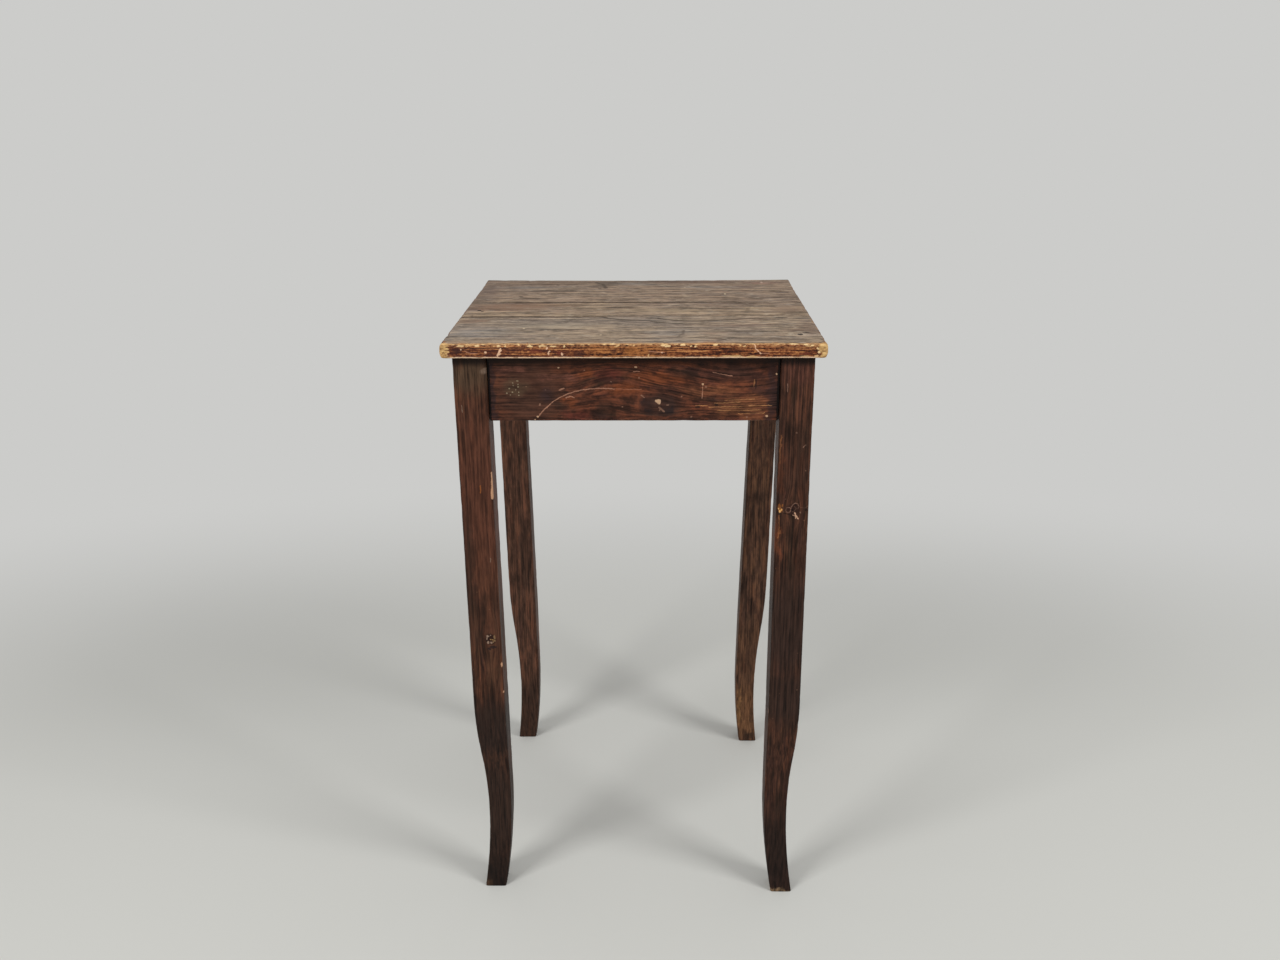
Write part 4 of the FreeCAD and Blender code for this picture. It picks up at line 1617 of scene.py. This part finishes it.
LEG_FINISHES = {
    "front_left": StainFinish(
        "stained_leg_front_left",
        leg_log(
            (-0.150, -0.150), 3.4 * MM, 0.3, 0.012, 380,
            Eddy(0.375, -0.180, (0.050, 0.016), 0.85),
        ),
        LEG_DEEP, LEG_PLAIN, LEG_BRIGHT, LEG_RUBBED, 0.20, wear=0.45, side=LEG_FRONT,
        washes=(
            veil((79, 61, 46), 0.88, (-184, 710, 40, 28)),
            veil((84, 50, 37), 0.88, (-180, 560, 60, 160)),
            wash((50, 35, 28), 0.70, (-200, 470, 10, 120)),
            wash((54, 37, 29), 0.50, (-185, 392, 70, 56)),
            wash((80, 54, 39), 0.60, (-178, 330, 12, 50)),
            veil((42, 30, 25), 0.96, (-185, 246, 70, 66)),
            veil((46, 33, 27), 0.96, (-185, 110, 70, 140)),
            veil((27, 20, 17), 0.96, (-185, 4, 70, 56)),
            wash((78, 56, 40), 0.70, (-201, 2, 9, 12)),
        ),
        marks=(
            patch((40, 23, 18), 0.88, (-178.4, 375.2, 8, 8.6)),
            patch((152, 126, 108), 0.85, (-182, 379.4, 2.1, 1.8), (-181.8, 371, 1.8, 2.1),
                  (-183.2, 376.4, 1.1, 2.6), (-178, 370.4, 1.6, 1.6), (-178.6, 380.6, 1.5, 0.9)),
            patch((132, 104, 74), 0.80, (-173.8, 378, 1.7, 3.2), (-175.6, 371.6, 1.7, 1.5),
                  (-173.6, 373.4, 1.3, 1.9)),
            patch((172, 134, 86), 0.80, (-178.6, 375, 1.5, 1), (-176, 374.2, 1.5, 1.2)),
            patch((34, 18, 15), 0.92, (-181, 375.8, 1.4, 1.5)),
            scratch((40, 22, 17), 0.85, 1.2, (-180.6, 376.6), (-177.2, 379.2)),
            patch((30, 24, 26), 0.75, (-176, 364.4, 5.4, 2.6), (-180.6, 362, 2.4, 2.2),
                  (-186, 188, 4, 4)),
            Mark((140, 118, 102), 0.74, ((-170, 715.6, 6.4, 4.4), (-168, 718.6, 3.4, 2.4)),
                 broken=0.7, core=0.15),
            strokes(
                (136, 114, 98), 0.62,
                (0.8, (-197, 676), (-196.4, 668)),
                (1.4, (-165.6, 716), (-166.2, 690)),
                (1.2, (-173.6, 485), (-173.4, 480)),
            ),
            Mark((200, 154, 120), 0.90,
                 ((-166.2, 339.4, 1.8, 5), (-165.3, 300.4, 1.9, 2.2), (-165.4, 333, 1.2, 2.2)),
                 ((4.4, (-165.4, 593), (-166.4, 562.5)),)),
            scratch((150, 86, 40), 0.70, 1.4, (-180.4, 578), (-180.6, 569)),
        ),
    ),
    "front_right": StainFinish(
        "stained_leg_front_right",
        leg_log(
            (0.130, -0.160), 3.8 * MM, 1.9, 0.012, 400,
            Eddy(0.547, 0.188, (0.040, 0.018), 0.85),
        ),
        LEG_DEEP, (63, 40, 30), (81, 50, 36), LEG_RUBBED, 0.20, wear=0.45, side=LEG_FRONT,
        washes=(
            wash((86, 52, 42), 0.65, (188, 716, 40, 20)),
            wash((110, 60, 38), 0.72, (171, 600, 6, 44), (171, 508, 5, 36)),
            wash((52, 35, 28), 0.55, (190, 606, 70, 56)),
            veil((50, 35, 29), 0.95, (190, 392, 70, 104), (190, 296, 70, 56)),
            wash((72, 44, 34), 0.62, (176, 170, 12, 70)),
            veil((36, 25, 21), 0.96, (188, 50, 70, 110)),
            wash((140, 114, 86), 0.95, (192, 0, 70, 4)),
        ),
        marks=(
            patch((48, 28, 23), 0.75, (187, 549, 9.5, 8.5)),
            patch((150, 92, 42), 0.75, (170.6, 551, 2.4, 6), (172.8, 547.6, 2.2, 3.4),
                  (174.2, 553.6, 1.3, 2.4), broken=0.5),
            patch((226, 172, 108), 0.90, (171.4, 546.4, 1.5, 2.4), (173.4, 548.4, 1.1, 1.9),
                  (170, 549.8, 0.9, 1.5)),
            patch((22, 13, 12), 0.85, (185.8, 548.4, 1.7, 1.8), (189.8, 554.2, 1.8, 1.2),
                  (202.3, 548.2, 1.6, 1.5), (181.2, 548.2, 1, 1)),
            Mark((148, 112, 94), 0.74, ((187, 643, 1.4, 1.4), (195.4, 545, 1.1, 1.5)), (
                (1.1, (178.2, 548.2), (179.4, 551), (182, 551.6), (184.2, 549.6),
                      (184, 546.4), (181.6, 544.8), (179, 545.6), (178.2, 548.2)),
                (1.1, (184.6, 551), (186, 554.4), (189, 557), (192, 556), (193.4, 552.6),
                      (192.6, 549.6)),
                (0.9, (186.2, 545.6), (189, 546.6), (190.4, 550.4), (188.6, 552.2)),
                (0.8, (193.4, 552.6), (197.4, 550.8), (201, 550.6), (204, 553)),
                (0.9, (174.5, 701), (174.7, 692)),
                (1.1, (195.4, 625.6), (198.4, 628.4)),
                (0.9, (197.6, 525), (198, 506)),
                (2, (167.4, 279), (168.4, 269)),
            ), broken=0.62),
            strokes(
                (214, 168, 138), 0.90,
                (1.7, (189, 544.4), (190.4, 541.4), (193.2, 537)),
                (1.2, (187, 541.6), (190.4, 540.4), (190, 537.6)),
                broken=0.3,
            ),
            scratch((27, 18, 14), 0.80, 1.3, (176, 544), (186, 541)),
            Mark(
                (168, 108, 66), 0.74,
                ((172.6, 520, 1.3, 3.4), (169, 473, 0.9, 1.6), (169.8, 628, 1.6, 2.6)),
                (
                    (1.5, (170.6, 541), (171.6, 526), (170.4, 512)),
                    (1.1, (169.6, 508), (168.8, 486)),
                    (1.4, (170, 640), (168.8, 622), (169.4, 606)),
                ),
                broken=0.75,
            ),
        ),
    ),
    "back_right": StainFinish(
        "stained_leg_back_right",
        leg_log((0.140, 0.120), 3.0 * MM, 3.7, 0.014, 340),
        (60, 41, 32), (78, 54, 42), (96, 66, 48), (136, 100, 72), 0.18, 0.28, side=BACK_LEG_FRONT,
        washes=(
            wash((92, 64, 46), 0.72, (172, 160, 70, 80)),
            wash((112, 78, 52), 0.82, (173, 56, 70, 76)),
            wash((44, 31, 25), 0.85, (176, 12, 12, 12)),
            wash((144, 104, 66), 0.72, (160, 66, 4, 50)),
        ),
        marks=(
            strokes((130, 100, 76), 0.55, (2, (162.6, 236.5), (184, 238.5)),
                    (1.6, (166, 206), (182, 204))),
        ),
    ),
    "back_left": StainFinish(
        "stained_leg_back_left",
        leg_log((-0.130, 0.140), 3.2 * MM, 5.1, 0.012, 340),
        (64, 43, 33), (82, 56, 44), (98, 64, 48), LEG_RUBBED, 0.16, 0.28, side=BACK_LEG_FRONT,
        washes=(
            wash((46, 33, 26), 0.84, (-186, 56, 70, 100)),
            wash((48, 36, 30), 0.60, (-176, 330, 12, 80)),
        ),
    ),
}


# Aprons


@dataclass(frozen=True)
class Apron:
    """A board between two legs, with a mitred tenon at each end and eased arrises."""

    side: str
    span: float
    signs: tuple[int, int]
    turn: float
    bottom: float = APRON_LOW
    height: float = 0.077
    thickness: float = 0.020
    recess: float = 0.005
    leg: float = LEG_SIZE
    shoulder_gap: float = 0.8 * MM
    tenon: float = 0.008
    tenon_rise: tuple[float, float] = (0.006, 0.063)
    mitre_gap: float = 0.6 * MM
    arris: float = 1.1 * MM

    def stand(self) -> Matrix:
        """Carries the apron's own frame, along and inwards, to its side of the table."""
        return stand_at(self.signs, self.turn, self.bottom, self.recess)

    def half(self) -> float:
        """Half the length between the shoulders."""
        return self.span / 2 - self.leg - self.shoulder_gap

    def add_tenons(self, mesh: bmesh.types.BMesh) -> None:
        """Draws a mitred tenon out of each end face.

        Args:
            mesh: The apron's mesh, in its own frame.
        """
        setback = (self.thickness - self.tenon) / 2
        ends = (
            (Vector((0, 1, 0)), (Vector((0, setback, 0)), Vector((0, setback + self.tenon, 0)))),
            (Vector((0, 0, 1)), tuple(Vector((0, 0, level)) for level in self.tenon_rise)),
        )
        for normal, places in ends:
            slice_at(mesh, normal, places)
        tip = self.span / 2 - self.recess - setback - self.mitre_gap
        for sign in (-1, 1):
            middle = Vector((sign * self.half(), self.thickness / 2, sum(self.tenon_rise) / 2))
            root = min(mesh.faces, key=lambda f: (f.calc_center_median() - middle).length)
            grown = bmesh.ops.extrude_discrete_faces(mesh, faces=[root])["faces"][0]
            for vertex in grown.verts:
                vertex.co.x = sign * (tip - (vertex.co.y - setback))

    def mesh(self) -> bmesh.types.BMesh:
        """The apron, in the table's frame."""
        half = self.half()
        mesh = box_mesh(Vector((-half, 0.0, 0.0)), Vector((half, self.thickness, self.height)))
        self.add_tenons(mesh)

        def is_long(p: Vector, q: Vector) -> bool:
            """Whether an edge runs along one of the board's four long arrises."""
            deep, tall = self.thickness / 2, self.height / 2
            return abs(p.x - q.x) > LONG and all(
                abs(abs(e.y - deep) - deep) < TOUCH and abs(abs(e.z - tall) - tall) < TOUCH
                for e in (p, q)
            )

        soften(mesh, is_long, self.arris, 3)
        slice_at(mesh, Vector((1, 0, 0)), [Vector((x, 0, 0)) for x in steps(-half, half, 6 * MM)])
        slice_at(mesh, Vector((0, 0, 1)), [Vector((0, 0, z)) for z in steps(0.0, self.height, 8 * MM)])
        reshape(mesh, self.worn)
        bmesh.ops.transform(mesh, matrix=self.stand(), verts=mesh.verts)
        return mesh

    def worn(self, spot: Vector) -> Vector:
        """Where planing and wear have taken a point of the sound apron.

        Args:
            spot: The point, in the apron's own frame.

        Returns:
            Its place on the old apron.
        """
        if abs(spot.x) > self.half() + TOUCH:
            return spot
        moved = spot.copy()
        seed = 11.0 + self.turn / 17.0
        inward = 1 if spot.y < self.thickness / 2 else -1
        edge = max(0.0, 1 - min(spot.z, self.height - spot.z) / (3 * MM))
        bite = edge * MM * (0.5 * bites(spot, 60.0, seed) + 0.3 * bites(spot, 170.0, seed + 2))
        moved.y += inward * (0.10 * MM * (1 + ripple(spot, 22.0, seed)) + bite)
        if spot.z < 3 * MM:
            moved.z += 0.5 * bite
        return moved

    def build(self) -> None:
        """Builds and dresses the apron."""
        corner = Vector((self.half(), 0.0, 0.0))
        far = corner + Vector((0.0, self.thickness, self.height))
        ends = [self.stand() @ p for p in (-corner, far)]
        low = Vector(map(min, *ends))
        high = Vector(map(max, *ends))

        def arris_of(paint: Paint, where: Sock) -> Sock:
            """The distance from the nearest of the board's long arrises."""
            x, y, z = paint.split(where - tuple((low + high) / 2))
            deep, half = (y, (high.y - low.y) / 2) if self.signs[1] else (x, (high.x - low.x) / 2)
            return (half - deep.size()).most((high.z - low.z) / 2 - z.size())

        finish = APRON_FINISHES[self.side]
        piece = as_piece(self.mesh(), f"stained_apron_{self.side}", finish.material(arris_of))
        enlist(piece, f"apron_{self.side}")


APRONS = (
    Apron("front", FRAME_SIZE[0], (0, -1), 0.0),
    Apron("right", FRAME_SIZE[1], (1, 0), 90.0),
    Apron("back", FRAME_SIZE[0], (0, 1), 180.0),
    Apron("left", FRAME_SIZE[1], (-1, 0), 270.0),
)

APRON_FRONT = Side((0, 2, 1), -0.188, 0.4)
# The stain's dark, plain and bright colours, and the wood where it is rubbed.
APRON_STAIN = ((58, 35, 26), (81, 47, 34), (104, 58, 39), (150, 112, 88))
SHADOW_GREEN = (38, 31, 26)


def plain_apron(side: str, lay: Lay, pith: tuple[float, float], shift: float) -> StainFinish:
    """The finish of an apron that has no marks of its own."""
    cut = Log(lay, pith, 3.6 * MM, shift, 0.020, (), 300.0, 40.0)
    return StainFinish(f"stained_apron_{side}", cut, *APRON_STAIN, 0.26, 0.30)


APRON_FINISHES = {
    "front": StainFinish(
        "stained_apron_front",
        Log(Lay.FRONT_RAIL, (0.640, -0.168), 3.4 * MM, 0.7, 0.022, (
            Eddy(0.028, 0.678, (0.060, 0.026), 0.80),
            Eddy(-0.040, 0.664, (0.050, 0.026), 0.60),
            Eddy(0.120, 0.700, (0.110, 0.050), 0, -0.014),
            Eddy(-0.020, 0.705, (0.060, 0.030), 0, 0.012),
        )),
        *APRON_STAIN, 0.30, 0.24, wear=0.55, side=APRON_FRONT,
        washes=(
            veil((69, 45, 35), 0.94, (-118, 690, 66, 70)),
            wash((78, 60, 45), 0.85, (-134, 696, 20, 14)),
            wash((106, 66, 54), 0.75, (-146, 717, 14, 7), (-128, 718, 10, 7), (-84, 706, 34, 5)),
            wash((52, 37, 38), 0.80, (-100, 686, 14, 12)),
            wash((94, 45, 36), 0.78, (-66, 664, 22, 9), (-28, 712, 22, 12)),
            wash((104, 62, 42), 0.50, (70, 692, 22, 16)),
            wash((116, 62, 36), 0.85,
                 (-74, 680, 14, 7), (-52, 712, 12, 9), (-10, 694, 24, 16), (28, 706, 44, 12)),
            wash((114, 70, 46), 0.85, (92, 692, 42, 9), (134, 682, 32, 8), (136, 660, 28, 4)),
            wash(SHADOW_GREEN, 0.62,
                 (-24, 707, 14, 7), (-36, 670, 15, 14), (-82, 670, 12, 7), (60, 712, 24, 8)),
            wash((64, 41, 35), 0.80, (120, 710, 46, 12), (146, 693, 20, 8)),
            wash((50, 37, 33), 0.95, (34, 676, 34, 20)),
            wash((30, 25, 26), 0.90, (14, 672, 13, 12), (40, 668, 12, 7)),
            wash((114, 73, 47), 0.78, (118, 671, 44, 11)),
            # Darker towards both ends, next to the legs.
            wash((44, 33, 34), 0.88, (158, 690, 9, 80), (-162, 690, 6, 80)),
        ),
        marks=(
            strokes(
                (174, 126, 102), 0.88,
                (1.1, (-110.9, 660.2), (-104, 668.5), (-96.1, 675.9), (-88.5, 681.6), (-80.9, 686),
                      (-71.8, 689.6), (-62.7, 692.1), (-51.5, 694), (-40.2, 694.8), (-22, 694.1)),
                (1.3, (-85, 692.6), (-79.4, 695)),
                (1.1, (-77.6, 683.4), (-72.6, 685.4), (-68, 683.6)),
                (1, (0, 714.2), (6.6, 714.4)),
                (0.8, (90, 713.4), (98, 711.4), (112, 709.2)),
                (0.9, (78.6, 696), (78.2, 683.2)),
                depth=0.08 * MM, broken=0.35,
            ),
            strokes((150, 98, 74), 0.60, (1.1, (-22, 694.1), (-8, 693.6), (9, 693.3)),
                    broken=0.6),
            strokes(
                (186, 132, 86), 0.72,
                (0.9, (92, 676.8), (106, 677.4), (122, 678.4)),
                (0.9, (132, 674.4), (158, 674.2)),
                (0.8, (86, 672), (104, 673), (124, 672.6)),
                (0.8, (71, 674.2), (84, 674)),
                (0.8, (96, 668.6), (118, 668.2), (146, 669)),
                (0.7, (120, 664.4), (150, 665.4)),
                (0.7, (104, 680.6), (138, 681.8)),
                (1, (137.6, 705), (136.6, 697.4)),
                broken=0.65,
            ),
            patch((206, 168, 134), 0.80, (-110.6, 661.2, 1.5, 1.2), (-113.6, 657.6, 1.2, 0.8),
                  (-85.3, 719, 1.2, 1.1), (78.7, 699.5, 1.6, 1.4), (162.1, 711.2, 1.2, 1.5),
                  (152.4, 661.8, 1.9, 1.2), (2.4, 719.4, 1.9, 1.2), (28.6, 679, 3, 3.4),
                  (26.4, 679.6, 2.6, 2.2)),
            Mark(
                (150, 112, 92), 0.70,
                ((82.3, 696.2, 1.3, 1.3), (6, 707, 0.9, 1.2), (38.8, 675, 2.4, 0.9),
                 (-107.6, 675.6, 1.3, 1.8), (-13, 672.6, 1, 1), (-26, 702.4, 1.3, 0.9),
                 (66, 660.6, 1.8, 0.9), (129.8, 660.4, 1.3, 1.1), (54.6, 685, 1, 1.2),
                 (-56, 716, 0.9, 0.8)),
                ((2, (29, 672.4), (31.6, 669.6), (34.6, 667.2)),
                 (1.2, (8.4, 686.8), (12, 684)),
                 (1.2, (31, 671.6), (29.4, 668.4))),
                broken=0.4,
            ),
            patch((158, 142, 114), 0.75, (-132.4, 703.4, 1.6, 0.9), (-132, 699.6, 0.9, 1),
                  (-131.8, 696.6, 1, 1.1), (-137.8, 700.8, 0.9, 1.1), (-137.4, 698, 0.8, 0.9),
                  (-134.6, 693.4, 0.8, 1), (-131.2, 690, 0.8, 0.9), (-131.6, 686.6, 0.7, 0.8),
                  (-138.6, 690.2, 1, 0.9), (-142, 694.6, 1, 0.9), (-145, 689, 1.4, 0.9),
                  (-141.2, 687, 0.9, 0.7), broken=0.5),
            Mark((34, 25, 22), 0.80, ((94.8, 674.8, 2.4, 1.6), (73, 672.4, 3.6, 1.6)),
                 ((1.3, (139.4, 704), (139, 694)),)),
            # Near-black strips at both ends: painted shadow in the open shoulder joints against the
            # legs.
            patch((14, 10, 10), 0.95, (165.8, 694, 3, 90), (-165.6, 694, 2.4, 90)),
        ),
    ),
    "right": plain_apron("right", Lay.SIDE_RAIL, (0.650, 0.170), 2.3),
    "back": plain_apron("back", Lay.FRONT_RAIL, (0.730, 0.160), 4.1),
    "left": plain_apron("left", Lay.SIDE_RAIL, (0.670, -0.170), 6.2),
}


# What holds the frame together


@dataclass(frozen=True)
class InnerWork:
    """Blocks, dowels and screws, which keep their CAD shapes."""

    corner_blocks: tuple[str, ...] = ("front_left", "front_right", "back_right", "back_left")
    glue_blocks: tuple[str, ...] = (
        "front_left", "front_right", "back_left", "back_right", "left", "right",
    )

    def dress(self) -> None:
        """Gives each of these nodes its finish."""
        cuts = {}
        for i, place in enumerate(self.corner_blocks):
            pith = (0.70, 0.30 + 0.07 * i)
            cuts[f"corner_block_{place}"] = Log(Lay.FRONT_RAIL, pith, 2.8 * MM, 1.3 * i)
        for i, place in enumerate(self.glue_blocks):
            lay = Lay.SIDE_RAIL if place in ("left", "right") else Lay.FRONT_RAIL
            cuts[f"glue_block_{place}"] = Log(lay, (0.60, 0.05 * i), 2.4 * MM, 0.9 * i + 0.4)
        for node, cut in cuts.items():
            self.cover(RawFinish(f"sawn_{node}", cut).material(), node)
        turned = Log(Lay.BACKWARD_DOWEL, (0.05, 0.70), 1.6 * MM)
        dowel = RawFinish("turned_dowels", turned, (190, 152, 108), (158, 118, 78), saw=0.2)
        self.cover(dowel.material(), "front_seam_dowels", "back_seam_dowels")
        self.cover(SteelFinish("old_screws").material(), "top_screws", "corner_block_screws")

    @staticmethod
    def cover(material: bpy.types.Material, *nodes: str) -> None:
        """Gives CAD nodes a finish.

        Args:
            material: The finish.
            nodes: The nodes' names.
        """
        for node in nodes:
            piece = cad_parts[node]
            if not piece.material_slots:
                piece.data.materials.append(material)
            for slot in piece.material_slots:
                slot.material = material
            log.info("%s: %s", node, material.name)


# Studio


@dataclass(frozen=True)
class Lamp:
    """A large soft lamp that looks at the table."""

    name: str
    spot: Point
    watts: float
    size: float


@dataclass(frozen=True)
class Studio:
    """The camera, two soft lamps, an even sky and a pale floor."""

    lens: float = 31.92
    camera_spot: Point = (0.0229, -1.4384, 1.0418)
    heading: float = 0.74
    pitch: float = 20.13
    roll: float = -0.25
    aim: Point = (0.0, 0.0, 0.45)
    lamps: tuple[Lamp, ...] = (
        Lamp("lamp_left", (-1.38, -1.39, 2.05), 25.0, 0.75),
        Lamp("lamp_right", (1.94, -1.23, 2.27), 34.0, 0.85),
    )
    sky: float = 0.50
    backdrop: Colour = (204, 204, 202)
    floor: Colour = (206, 206, 201)
    floor_reach: float = 9.0
    # The floor is itself about this spot, and fades into the backdrop between these distances.
    near_spot: Point = (0.0, -0.35, 0.0)
    near_shape: Point = (0.62, 1.0, 1.0)
    fade: tuple[float, float] = (0.75, 1.75)

    def build(self) -> None:
        """Sets up the whole studio."""
        self.add_camera()
        for lamp in self.lamps:
            self.add_lamp(lamp)
        self.add_sky()
        self.add_floor()
        bpy.context.scene.view_settings.view_transform = "Standard"

    def add_camera(self) -> None:
        """Sets the camera at the eye point."""
        data = bpy.data.cameras.new("camera")
        data.sensor_width = 36.0
        data.lens = self.lens
        data.clip_start, data.clip_end = 0.05, 60.0
        camera = add_object("camera", data)
        pose = Matrix.Translation(self.camera_spot)
        for degrees, axis in ((self.heading, "Z"), (90 - self.pitch, "X"), (self.roll, "Z")):
            pose = pose @ Matrix.Rotation(math.radians(degrees), 4, axis)
        camera.matrix_world = pose
        bpy.context.scene.camera = camera

    def add_lamp(self, lamp: Lamp) -> None:
        """Sets up one lamp.

        Args:
            lamp: The lamp.
        """
        data = bpy.data.lights.new(lamp.name, "AREA")
        data.shape = "SQUARE"
        data.size = lamp.size
        data.energy = lamp.watts
        item = add_object(lamp.name, data)
        item.location = lamp.spot
        ray = Vector(self.aim) - Vector(lamp.spot)
        item.rotation_euler = ray.to_track_quat("-Z", "Y").to_euler()

    def add_sky(self) -> None:
        """Lights the scene evenly, and shows the backdrop's colour to the eye and in gloss."""
        paint = Paint("even_sky", "worlds")
        lit, shown = (
            paint.add("ShaderNodeBackground", {}, {"Color": colour, "Strength": strength})
            for colour, strength in (((255, 255, 255), self.sky), (self.backdrop, 1.0))
        )
        blend = paint.add("ShaderNodeMixShader", {}, {0: paint.seen(), 1: lit, 2: shown})
        bpy.context.scene.world = paint.close(blend, "World")

    def add_floor(self) -> None:
        """Lays a wide pale floor that fades into the backdrop."""
        mesh = bmesh.new()
        bmesh.ops.create_circle(mesh, cap_ends=True, segments=96, radius=self.floor_reach)
        add_mesh(mesh, "floor", self.floor_material())

    def floor_material(self) -> bpy.types.Material:
        """A matt pale floor, which keeps its shadows near the table."""
        paint = Paint("pale_floor")
        away = ((paint.place() - self.near_spot) * self.near_shape).length()
        far = away.rise(*self.fade)
        matt = paint.add("ShaderNodeBsdfDiffuse", {}, {"Color": self.floor}, "BSDF")
        glow = paint.add("ShaderNodeEmission", {}, {"Color": self.backdrop, "Strength": 1.0})
        return paint.close(
            paint.add("ShaderNodeMixShader", {}, {0: far * paint.seen(), 1: matt, 2: glow})
        )


def main() -> None:
    """Builds the studio and the table, piece by piece."""
    logging.basicConfig(level=logging.INFO, format="%(message)s")
    Studio().build()
    TableTop().build()
    for leg in LEGS:
        leg.build()
    for apron in APRONS:
        apron.build()
    InnerWork().dress()


if __name__ == "__main__":
    main()
